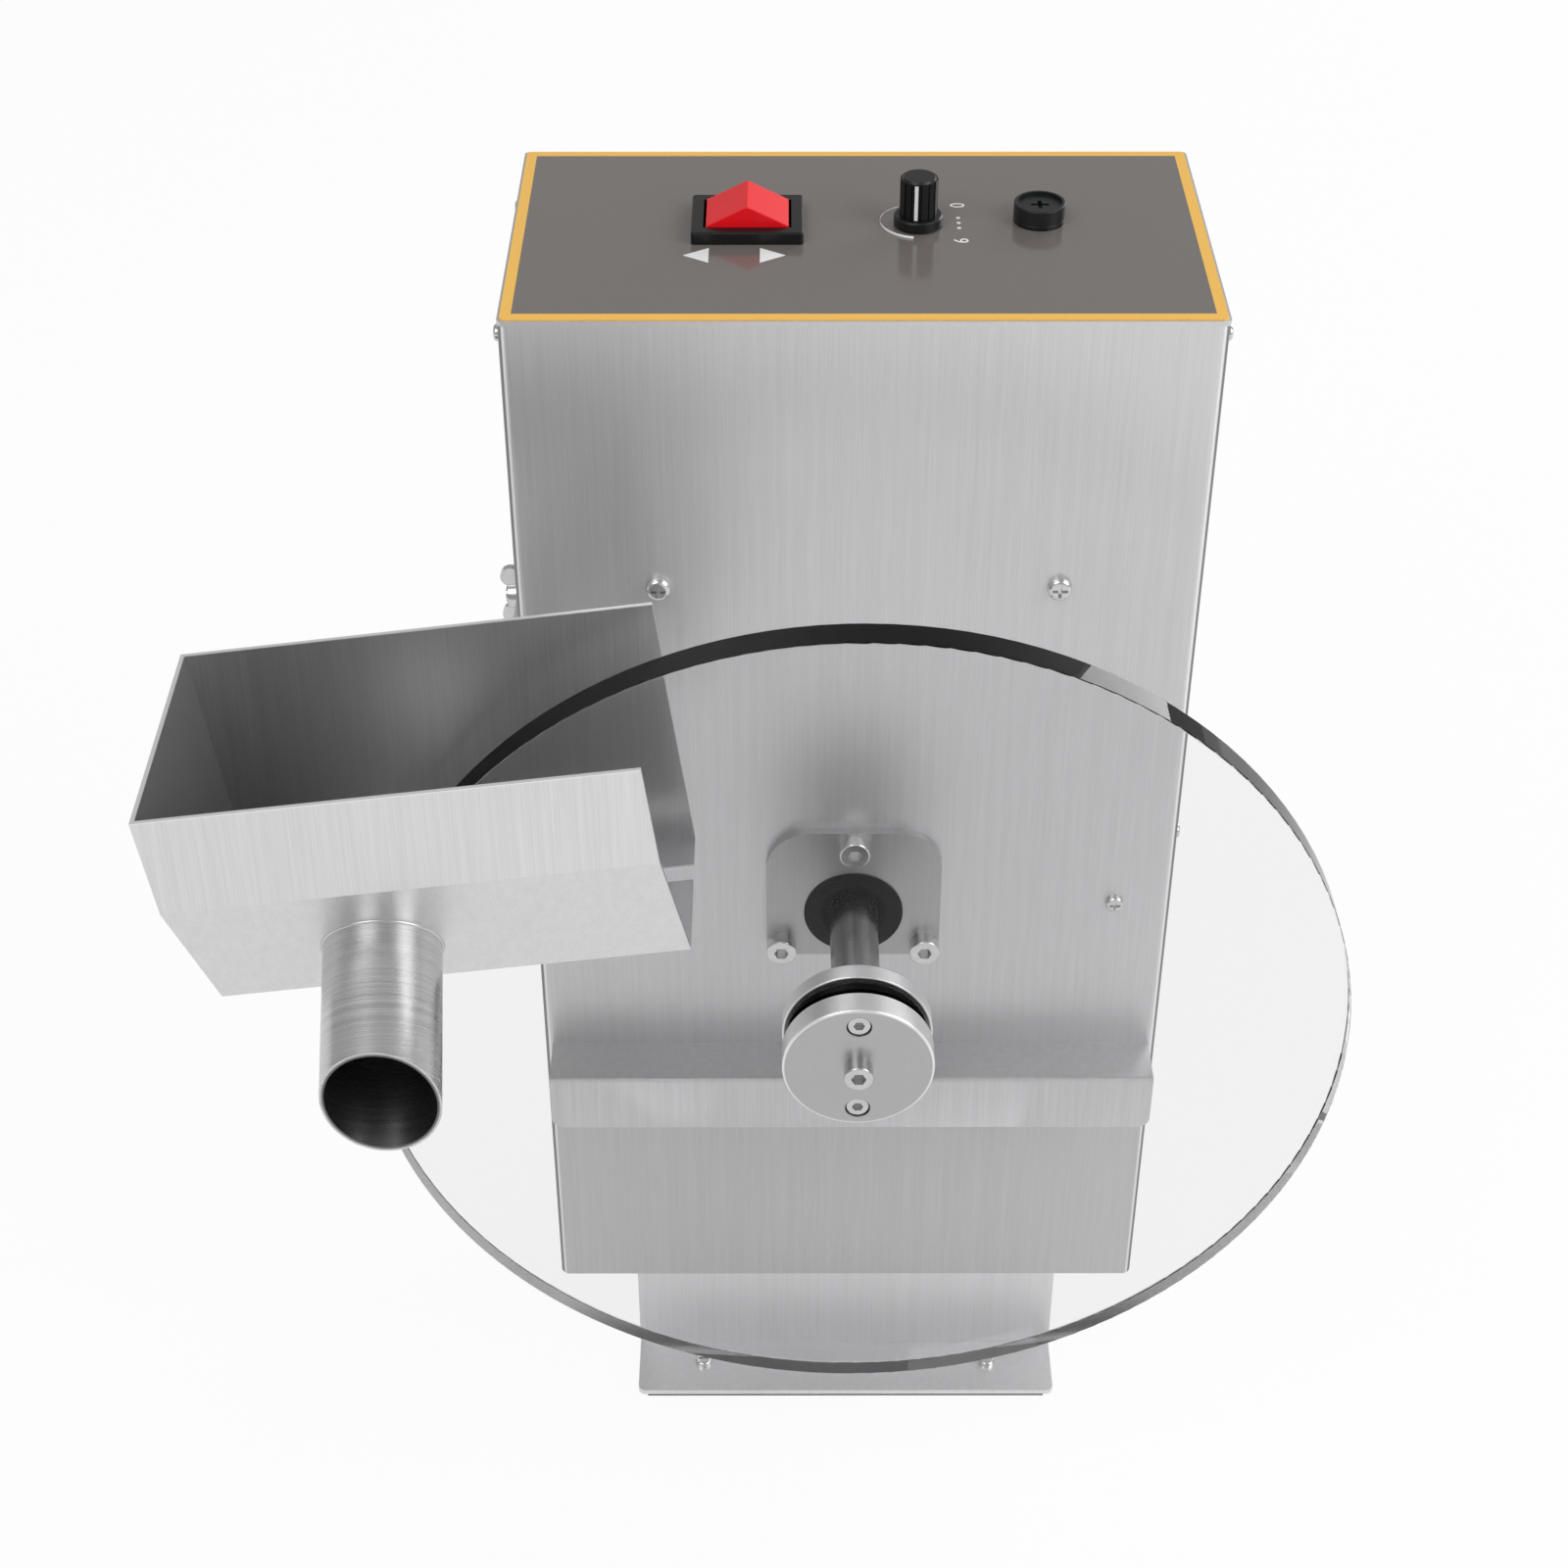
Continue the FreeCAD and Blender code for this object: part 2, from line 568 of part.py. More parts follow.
def build_gearbox():
    """Worm gearbox: block, cover, bearings, worm wheel and worm."""
    gear_y = s.gear_y
    low, high = axis - 38, axis + 42
    block = box(-36, 24, low, 86, 56, high - low)
    block = rounded(block, 5, lambda e: along(e, (0, 0, 1)))
    bores = [rod("Y", 0, gear_y - 12, axis, 27.5, 40),
             rod("Y", 0, 20, axis, 12.4, 30),
             rod("Y", 0, 28, axis, 17.02, 8.1),
             rod("Z", worm_x, gear_y, low + 3, 11.02, 90)]
    posts = [rod("Y", x, 4.65, axis + z, 5, 22) for x, z in gearbox_spots()]
    taps = [rod("Y", x, 4, axis + z, 2.02, 12) for x, z in gearbox_spots()]
    node("gearbox_housing", cut(fuse(block, *posts), *(bores + taps)))
    lid = fuse(rod("Y", 0, 80, axis, 34, 4), rod("Y", 0, 66, axis, 27.4, 15))
    bores = [rod("Y", 0, 60, axis, 17.02, 16.1), rod("Y", 0, 60, axis, 12.4, 30)]
    marks = [rod("Y", x, 76, axis + z, 2.1, 12) for x, z in cover_spots()]
    node("gearbox_cover", cut(lid, *(bores + marks)))
    bolt = cap_screw(7.0, 4.0, 4.0, 4.0, 3.0)
    spots = [copy_at(bolt, "Y", x, 84, axis + z) for x, z in cover_spots()]
    node("cover_screws", group(*spots))
    rings = [cut(rod("Y", 0, y, axis, 17, 8), rod("Y", 0, y - 1, axis, 11.03, 10)) for y in (28, 68)]
    rings += [cut(rod("Z", worm_x, gear_y, z, 11, 7), rod("Z", worm_x, gear_y, z - 1, 4.53, 9))
             for z in (low + 3, high - 9)]
    node("gearbox_bearings", group(*rings))

    gear = rod("Y", 0, gear_y - s.gear_width / 2, axis, s.gear_dia / 2, s.gear_width)
    hub = rod("Y", 0, 29, axis, 11, 46)
    throat = doc.addObject("Part::Torus", "throat")
    bind(throat, "Radius1", worm_x)
    bind(throat, "Radius2", s.worm_dia / 2 + 0.4)
    place(throat, 0, gear_y, axis, TURNS["Y"])
    teeth = []
    for i in range(30):
        tooth = box(s.gear_dia / 2 - 3.2, -s.gear_width, -0.85, 10, s.gear_width * 2, 1.7)
        teeth.append(place(group(tooth), 0, gear_y, axis, ((0, 1, 0), 12 * i + 6)))
    key = box(-2.5, 42, axis + 5, 5, 20, 5)
    bore = rod("Y", 0, 20, axis, s.shaft_dia / 2 + 0.01, 70)
    node("worm_wheel", cut(fuse(gear, hub), throat, bore, key, *teeth))
    node("shaft_key", rounded(box(-2.5, 42, axis + 5, 5, 20, 5), 2.4,
                              lambda e: along(e, (0, 0, 1))))

    worm = rod("Z", worm_x, gear_y, axis - 16, s.worm_dia / 2, 32)
    grooves = []
    for i in range(8):
        ring = doc.addObject("Part::Torus", unique("groove"))
        bind(ring, "Radius1", s.worm_dia / 2 + 0.3)
        bind(ring, "Radius2", 1.3)
        grooves.append(place(ring, worm_x, gear_y, axis - 14 + 4 * i))
    stem = rod("Z", worm_x, gear_y, low + 4, 4.5, 178)
    node("worm_shaft", fuse(cut(worm, *grooves), stem))


def cover_spots():
    return [(30.6 * math.cos(math.radians(a)), 30.6 * math.sin(math.radians(a)))
            for a in (45, 135, 225, 315)]


def build_motor():
    """Upright motor on top of the gearbox."""
    base = axis + 42
    x, y, r = worm_x, s.gear_y, s.motor_dia / 2
    can = rounded(rod("Z", x, y, base, r, s.motor_length), 3,
                  lambda e: abs(mid(e).z - value(base)) < 0.01)
    hollow = rod("Z", x, y, base + 4, r - 2, s.motor_length)
    node("motor_can", cut(can, hollow, rod("Z", x, y, base - 2, 5.2, 10)))
    stator = cut(rod("Z", x, y, base + 20, r - 2.02, 62), rod("Z", x, y, base + 19, 20.4, 64))
    node("motor_stator", stator)
    rotor = cut(rod("Z", x, y, base + 22, 20, 58), rod("Z", x, y, base + 20, 4.5, 62))
    node("motor_rotor", rotor)
    top = base + s.motor_length
    lid = fuse(rod("Z", x, y, top, r, 4), rod("Z", x, y, top - 6, r - 2.02, 7))
    holes = [rod("Z", x, y, top - 8, 4.55, 8)]
    for i in range(8):
        a = math.radians(45 * i)
        holes.append(rod("Z", x + 22 * math.cos(a), y + 22 * math.sin(a), top - 8, 4, 16))
    node("motor_cap", cut(lid, *holes))


def build_control():
    """Electronics behind the panel and the controls on the lid."""
    back = s.sheet + s.slip
    strip = box(-92, back, s.casing_top - 112, 158, s.sheet, 44)
    holes = [rod("Y", side * upper_screw[0], -1, upper_screw[1], 1.76, 8) for side in (1, -1)]
    pegs = [rod("Y", x, back + s.sheet - 0.5, z, 2.5, 10.5) for x, z in board_spots()]
    node("board_bracket", fuse(cut(strip, *holes), *pegs))
    level = back + s.sheet + 10
    board = cut(box(-88, level, s.casing_top - 112, 74, 1.6, 70),
                *[rod("Y", x, level - 1, z, 1.2, 4) for x, z in board_spots()])
    node("speed_board", board)
    z = s.casing_top - 108
    fins = [box(-80 + 4 * i, level + 1.6, z, 1.4, 22, 34) for i in range(8)]
    node("heat_sink", fuse(box(-80, level + 1.6, z, 29.4, 3, 34), *fins))
    tall = rod("Y", -34, level + 1.6, z + 16, 9, 28)
    node("capacitor", rounded(tall, 1.2, lambda e: mid(e).y > value(level) + 20))
    node("terminal_block", box(-78, level + 1.6, s.casing_top - 58, 48, 11, 10))
    build_switch()
    build_speed_knob()
    build_fuse()
    build_inlet()


def board_spots():
    low = s.casing_top
    return [(x, low - dz) for x in (-84, -18) for dz in (108, 74)]


def build_switch():
    """Centre-off rocker switch."""
    x, y = -s.switch_x, s.switch_y
    top = face + s.bezel_height
    bezel = box(x - s.bezel_x / 2, y - s.bezel_y / 2, face, s.bezel_x, s.bezel_y, s.bezel_height)
    bezel = rounded(bezel, 1.0, lambda e: along(e, (0, 0, 1)))
    bezel = rounded(bezel, 0.6, lambda e: abs(mid(e).z - value(top)) < 0.01)
    body = box(x - 13.7, y - 10.6, face - 24, 27.4, 21.2, 26)
    well = box(x - 12.6, y - s.rocker_y / 2 - 0.25, top - 10.5, 25.2, s.rocker_y + 0.5, 20)
    tabs = [box(x - 10 + 8 * i, y + j, face - 32, 4.8, 0.8, 9) for i in range(3) for j in (-6, 5.2)]
    pivot = top - 4
    socket = rod("Y", x, y - 10.3, pivot, 1.58, 20.6)
    node("switch_body", cut(fuse(bezel, body, *tabs), well, socket))
    wide = s.rocker_x / 2
    profile = [(-wide + 1.4, -2.6), (wide - 1.4, -2.6), (wide, -0.6), (wide - 0.4, 4.3),
               (0, 10.2), (-wide + 0.4, 4.3), (-wide, -0.6)]
    keyed = prism("XZ", profile, s.rocker_y, x, y - s.rocker_y / 2, pivot, back=True)
    keyed = rounded(keyed, 0.35, lambda e: mid(e).z > value(pivot) + 4.2)
    node("rocker", fuse(keyed, rod("Y", x, y - 10.1, pivot, 1.5, 20.2)))


def build_speed_knob():
    """Rotary speed control: fixed body, turning spindle and knob."""
    x, y = s.knob_x, s.knob_y
    body = fuse(rod("Z", x, y, lid_low - 9.2, 8.2, 9.1), rod("Z", x, y, lid_low - 1, 3.5, 5.6))
    legs = [box(x - 6 + 5 * i, y - 14, lid_low - 8, 2, 8, 0.8) for i in range(3)]
    nut = hexagon("Z", x, y, face, 9.0, 2.0)
    node("speed_pot", cut(fuse(body, nut, *legs), rod("Z", x, y, lid_low - 6, 3.05, 20)))
    node("pot_spindle", rod("Z", x, y, lid_low - 5.8, 3, 18))
    low, top = face + 0.5, s.casing_top + s.knob_height
    grip, skirt = s.knob_dia / 2, s.skirt_dia / 2
    rise = top - low
    outline = []
    for i in range(14):
        for off, dip in ((-9.0, 0), (9.0, 0), (11.0, 0.45), (14.7, 0.45)):
            a = math.radians(-100 + i * 360 / 14 + off)
            outline.append(((grip - dip) * math.cos(a), (grip - dip) * math.sin(a)))
    ribbed = prism("XY", outline, rise - 1.6, x, y, low + 1.0)
    cap = fuse(rod("Z", x, y, low, skirt, 2.5), cone("Z", x, y, low + 2.5, skirt, skirt - 0.4, 0.4),
               ribbed, cone("Z", x, y, top - 0.6, grip - 0.5, grip - 0.9, 0.6))
    hollow = [rod("Z", x, y, low - 1, 5.35, 3.6), rod("Z", x, y, low - 1, 3.02, 12)]
    node("speed_knob", cut(cap, pointer(x, y, low, rise), *hollow))
    node("knob_pointer", pointer(x, y, low, rise))


def pointer(x, y, low, rise):
    """The white insert down the knob's side, ten degrees off the front."""
    grip = s.knob_dia / 2
    bar = box(-0.5, -grip - 0.12, low + 3.2, 1.0, 1.0, rise - 4.0)
    return place(group(bar), x, y, 0, ((0, 0, 1), -10))


def build_fuse():
    """Panel fuse holder with a quarter-turn cap, carrier and glass fuse."""
    x, y = s.fuse_x, s.fuse_y
    collar = rounded(rod("Z", x, y, face, s.fuse_dia / 2, 1.4), 0.4,
                     lambda e: mid(e).z > value(face) + 1)
    tube = fuse(collar, rod("Z", x, y, face - 34, 5.9, 35))
    nut = rod("Z", x, y, lid_low - 4, 8.5, 3.9)
    terminals = [box(x - 1.5, y - 8.5, face - 20, 3, 4, 1), box(x - 1.5, y - 0.4, face - 39, 3, 0.8, 6)]
    node("fuse_holder", cut(fuse(tube, nut, *terminals), rod("Z", x, y, face - 31, 4.6, 40)))
    top = s.casing_top + s.fuse_height
    low = face + 1.5
    head = rounded(rod("Z", x, y, low, s.fuse_dia / 2, top - low), 0.5,
                   lambda e: abs(mid(e).z - value(top)) < 0.01)
    body = fuse(head, rod("Z", x, y, face - 26, 4.45, 29))
    cross = fuse(box(x - 2.6, y - 0.6, top - 2.2, 5.2, 1.2, 3), box(x - 0.6, y - 2.6, top - 2.2, 1.2, 5.2, 3))
    dish = rod("Z", x, y, top - 1.0, 6.4, 2)
    node("fuse_cap", cut(body, cross, dish, rod("Z", x, y, face - 27, 2.62, 22)))
    glass = rod("Z", x, y, face - 25.2, 2.25, 20)
    ends = [rod("Z", x, y, face - 25.2, 2.6, 5), rod("Z", x, y, face - 10.2, 2.6, 5)]
    node("fuse", fuse(glass, *ends))


def build_inlet():
    """Three-pin power inlet on the rear cover."""
    x, z = -45, 80
    flange = rounded(box(x - 25, depth, z - 12.5, 50, 2.6, 25), 6,
                     lambda e: along(e, (0, 1, 0)))
    body = box(x - 13.5, depth - 22, z - 10, 27, 24, 20)
    well = box(x - 12.2, depth - 16, z - 8.3, 24.4, 20, 16.6)
    drills = [rod("Y", side, depth - 1, z, 1.6, 6) for side in (x - 20, x + 20)]
    tails = [box(x + dx - 1, depth - 30, z - 1, 2, 9, 2) for dx in (-7, 0, 7)]
    node("power_inlet", cut(fuse(flange, body, *tails), well, *drills))
    pins = [box(x + dx - 1, depth - 16, z + dz - 2, 2, 13.6, 4)
            for dx, dz in ((-7, -1.5), (0, 2.5), (7, -1.5))]
    node("inlet_pins", group(*pins))
    screw = pan_screw(5.7, 2.1, 3.0, 6.0, 3.3)
    spots = [copy_at(screw, "Y", side, depth + 2.6, z) for side in (x - 20, x + 20)]
    spots += [copy_at(screw, "-Y", side * lower_screw[0], 0, lower_screw[1]) for side in (1, -1)]
    node("small_screws", group(*spots))


def build_wheel():
    """Shaft, clear wheel and the clamp stack that holds it."""
    front = s.disc_front
    key = box(-2.5, 42, axis + 5, 5, 20, 5)
    bar = rod("Y", 0, -front - s.gasket, axis, s.shaft_dia / 2, front + s.gasket + 77)
    tap = rod("Y", 0, -front - 5, axis, 2.5, 22)
    node("drive_shaft", cut(bar, key, tap))
    stack = [(0, s.clamp_screw_offset), (0, -s.clamp_screw_offset)]
    bores = [rod("Y", x, -clamp_front - 2, axis + z, 2.02, 40) for x, z in stack]
    hole = rod("Y", 0, -clamp_front - 2, axis, s.shaft_dia / 2 + 0.02, 40)
    r = s.clamp_dia / 2
    flange = rounded(rod("Y", 0, -disc_rear + s.gasket, axis, r, s.collar_thick), 0.6,
                     lambda e: e.Length > 100)
    node("rear_collar", cut(flange, hole, *bores))
    rings = [cut(rod("Y", 0, y, axis, r - 1.6, s.gasket), hole, *bores)
             for y in (-disc_rear, -front - s.gasket)]
    node("gaskets", group(*rings))
    sheet = rod("Y", 0, -front, axis, s.disc_dia / 2, s.disc_thick)
    wheel = cut(sheet, hole, *bores)
    node("wheel_disc", rounded(wheel, 0.4, lambda e: e.Length > 800))
    plate = rounded(rod("Y", 0, -clamp_front, axis, r, s.clamp_thick), 0.7,
                    lambda e: abs(mid(e).y + value(clamp_front)) < 0.01)
    sinks = [rod("Y", x, -clamp_front - 1, axis + z, 3.75, 4.6) for x, z in stack]
    node("front_clamp", cut(plate, rod("Y", 0, -clamp_front - 2, axis, 2.55, 12), *(sinks + bores)))
    bolt = cap_screw(8.6, 5.0, 5.0, s.clamp_thick + 15, 4.0)
    node("centre_bolt", copy_at(bolt, "-Y", 0, -clamp_front, axis))
    small = cap_screw(7.0, 3.2, 4.0, 19.5, 3.0)
    node("clamp_screws", group(*[copy_at(small, "-Y", x, -clamp_front + 3.6, axis + z)
                                 for x, z in stack]))


def rolled(obj):
    """Move a hopper part from the trough's own frame to its place."""
    return place(group(obj), -s.hopper_x, -s.hopper_rear, s.hopper_z, ((0, 1, 0), -s.hopper_roll))


def trough_section(t):
    """Half-open trough section in Y and Z, moved inwards by t."""
    floor_shift = t * (1 / math.cos(math.radians(slope.num)) - math.tan(math.radians(slope.num)))
    fold_shift = t * math.tan(math.radians(slope.num / 2))
    rise = 3 if value(t) > 0 else 0
    return [(-t, rise), (-t, -s.hopper_depth + t), (-s.hopper_floor + floor_shift, -s.hopper_depth + t),
            (-s.hopper_width + t, -s.hopper_fold + fold_shift), (-s.hopper_width + t, rise)]


def spout_rod(radius, start, length):
    """A cylinder along the spout's axis, in the trough's frame."""
    y = -s.hopper_width + s.spout_drop * sine(slope) + start * -1 * cosine(slope)
    z = -s.hopper_fold - s.spout_drop * cosine(slope) - start * sine(slope)
    obj = doc.addObject("Part::Cylinder", unique("spout"))
    bind(obj, "Radius", radius)
    bind(obj, "Height", length)
    return place(obj, -s.spout_x, y, z, ((1, 0, 0), slope + 90))


def build_hopper():
    """Scraper hopper with its spout, arm, stud and wing nut."""
    t = s.hopper_sheet
    hull = prism("YZ", trough_section(dim(0)), s.hopper_length, x=-s.hopper_length)
    core = prism("YZ", trough_section(t), s.hopper_length + 5, x=-s.hopper_length + t)
    roll = s.hopper_roll
    slot_x = (-s.slot_end + s.hopper_x - s.hopper_depth * sine(roll)) / cosine(roll)
    local = s.disc_front - s.hopper_rear
    slot = box(slot_x, -local - s.slot_gap, -s.hopper_depth - 2, -slot_x + 10,
               s.disc_thick + s.slot_gap * 2, 6)
    eye = spout_rod(s.spout_dia / 2 - s.spout_wall, dim(-6), dim(12))
    node("hopper", rolled(cut(hull, core, slot, eye)))

    end = -s.spout_end + s.hopper_rear
    tube = cut(spout_rod(s.spout_dia / 2, dim(0), dim(80)),
               spout_rod(s.spout_dia / 2 - s.spout_wall, dim(-5), dim(90)),
               box(-s.spout_x - 40, end - 60, -180, 80, 60, 180))
    node("spout", rolled(tube))

    x = -half - s.slip
    z = s.stud_z
    low = z - s.arm_width / 2
    strip = box(x - s.arm_sheet, -s.hopper_rear, low, s.arm_sheet, s.hopper_rear + 30, s.arm_width)
    pad = box(x - s.arm_sheet, 28, z - 22, s.arm_sheet, 34, 40)
    tab = box(x - 48, -s.hopper_rear, low, 48, s.arm_sheet, s.arm_width)
    reach = s.stud_dia / 2 + 0.2
    slot = fuse(box(x - 6, s.stud_y - reach, z - s.arm_travel_up, 10, reach * 2,
                    s.arm_travel_up + s.arm_travel_down),
                rod("X", x - 6, s.stud_y, z - s.arm_travel_up, reach, 10),
                rod("X", x - 6, s.stud_y, z + s.arm_travel_down, reach, 10))
    rivets = [rod("Y", x + dx, -s.hopper_rear - 1, z, 2.02, 6) for dx in (-40, -18)]
    node("hopper_arm", cut(fuse(strip, pad, tab), slot, *rivets))
    pins = [fuse(rod("Y", x + dx, -s.hopper_rear, z, 2.0, 3),
                 rod("Y", x + dx, -s.hopper_rear + 2, z, 3.6, 1.4)) for dx in (-40, -18)]
    node("arm_rivets", group(*pins))

    stem = rod("-X", -wall + 3.5, s.stud_y, z, s.stud_dia / 2, 10.6 + s.arm_sheet)
    head = hexagon("-X", -wall + 4.5, s.stud_y, z, 8.0, 4.4)
    node("wing_stud", fuse(head, stem))
    seat = x - s.arm_sheet - 0.1
    hub = cone("-X", seat, s.stud_y, z, 4.8, 4.0, 4.6)
    blade = wing_blade(seat, z)
    node("wing_nut", cut(fuse(hub, blade), rod("-X", seat + 2, s.stud_y, z, s.stud_dia / 2 + 0.03, 20)))


def wing_blade(seat, z):
    """The two round-tipped wings, one above and one below the stud, along Z."""
    web = prism("XZ", [(-0.8, -6.8), (-4.2, -6.8), (-3.6, 0), (-4.2, 6.8), (-0.8, 6.8)], 2.4,
                seat, s.stud_y - 1.2, z, back=True)
    tips = [rod("Y", seat - 3.7, s.stud_y - 1.2, z + up, 3.2, 2.4) for up in (-6.8, 6.8)]
    return fuse(web, *tips)


def solid_count(shape):
    return len(shape.Solids)


def finish():
    """Recompute, check every object and write one STEP file per node."""
    doc.recompute()
    for obj in doc.Objects:
        if "Invalid" in obj.State or "Error" in obj.State:
            raise RuntimeError("object in error: %s %s" % (obj.Name, obj.State))
    os.makedirs("parts", exist_ok=True)
    for name, obj in NODES.items():
        shape = obj.Shape
        if shape.isNull() or not shape.isValid() or not shape.Solids:
            raise RuntimeError("bad shape: " + name)
        box_ = shape.BoundBox
        print("%-18s solids %d  x %.1f..%.1f y %.1f..%.1f z %.1f..%.1f" % (
            name, solid_count(shape), box_.XMin, box_.XMax, box_.YMin, box_.YMax,
            box_.ZMin, box_.ZMax))
        shape.exportStep("parts/%s.step" % name)


for build in (build_casing, build_feet, build_hook, build_fasteners, build_mounting,
              build_gearbox, build_motor, build_control, build_wheel, build_hopper):
    build()
    print("built", build.__name__)
finish()
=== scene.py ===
"""Looks of a bench chocolate wheel mixer: finishes, prints, fixings, stage and camera."""

import logging
import math
from dataclasses import dataclass, field
from enum import Enum
from typing import Any, Callable, Sequence, Union

import bmesh
import bpy
from mathutils import Matrix, Vector


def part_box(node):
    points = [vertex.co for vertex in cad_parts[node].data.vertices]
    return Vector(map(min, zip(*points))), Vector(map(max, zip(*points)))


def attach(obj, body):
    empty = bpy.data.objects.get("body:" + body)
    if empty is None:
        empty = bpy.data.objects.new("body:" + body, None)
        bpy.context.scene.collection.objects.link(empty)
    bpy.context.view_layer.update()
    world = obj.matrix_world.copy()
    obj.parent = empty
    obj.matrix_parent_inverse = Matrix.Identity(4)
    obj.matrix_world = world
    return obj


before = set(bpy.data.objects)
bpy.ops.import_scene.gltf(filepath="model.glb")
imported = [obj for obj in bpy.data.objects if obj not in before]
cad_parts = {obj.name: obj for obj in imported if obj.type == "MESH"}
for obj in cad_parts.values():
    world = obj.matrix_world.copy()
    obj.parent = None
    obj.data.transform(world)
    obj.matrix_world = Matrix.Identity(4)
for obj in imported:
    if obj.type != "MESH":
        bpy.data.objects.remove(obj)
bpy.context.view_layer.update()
LOG = logging.getLogger("wheel_mixer")
MM = 0.001

Number = Union[int, float]
Colour = tuple[float, float, float, float]


class Grain(Enum):
    """Direction in which a sheet was brushed."""

    UPRIGHT = (1.0, 1.0, 0.012)
    DEEP = (1.0, 0.012, 1.0)


class Socket:
    """A shader socket, or a number, that adds Math nodes when used in an expression."""

    def __init__(self, tree: "Tree", link: Any) -> None:
        """Keep the tree and the output socket.

        Args:
            tree: The node tree that the expression belongs to.
            link: An output socket.
        """
        self.tree = tree
        self.link = link

    def _math(self, operation: str, *values: Any) -> "Socket":
        """Add one Math node and return its output."""
        return self.tree.add("ShaderNodeMath", {"operation": operation},
                             {i: v for i, v in enumerate(values)})

    def __add__(self, other: Any) -> "Socket":
        """Sum."""
        return self._math("ADD", self, other)

    __radd__ = __add__

    def __sub__(self, other: Any) -> "Socket":
        """Difference."""
        return self._math("SUBTRACT", self, other)

    def __rsub__(self, other: Any) -> "Socket":
        """Difference, the other way round."""
        return self._math("SUBTRACT", other, self)

    def __mul__(self, other: Any) -> "Socket":
        """Product."""
        return self._math("MULTIPLY", self, other)

    __rmul__ = __mul__

    def __truediv__(self, other: Any) -> "Socket":
        """Quotient."""
        return self._math("DIVIDE", self, other)

    def __rtruediv__(self, other: Any) -> "Socket":
        """Quotient, the other way round."""
        return self._math("DIVIDE", other, self)

    def __neg__(self) -> "Socket":
        """Opposite sign."""
        return self._math("MULTIPLY", self, -1.0)

    def __lt__(self, other: Any) -> "Socket":
        """1 where this is less."""
        return self._math("LESS_THAN", self, other)

    def __abs__(self) -> "Socket":
        """Size without sign."""
        return self._math("ABSOLUTE", self)

    def maximum(self, other: Any) -> "Socket":
        """The larger of two."""
        return self._math("MAXIMUM", self, other)

    def minimum(self, other: Any) -> "Socket":
        """The smaller of two."""
        return self._math("MINIMUM", self, other)

    def root(self) -> "Socket":
        """Square root."""
        return self._math("SQRT", self)

    def ramp(self, low: float, high: float, to_low: float = 0.0, to_high: float = 1.0) -> "Socket":
        """Map a span of values onto another one, clamped.

        Args:
            low: Value that becomes to_low.
            high: Value that becomes to_high.
            to_low: First result.
            to_high: Last result.

        Returns:
            The mapped socket.
        """
        return self.tree.add("ShaderNodeMapRange", {"clamp": True},
                             {"Value": self, "From Min": low, "From Max": high,
                              "To Min": to_low, "To Max": to_high})


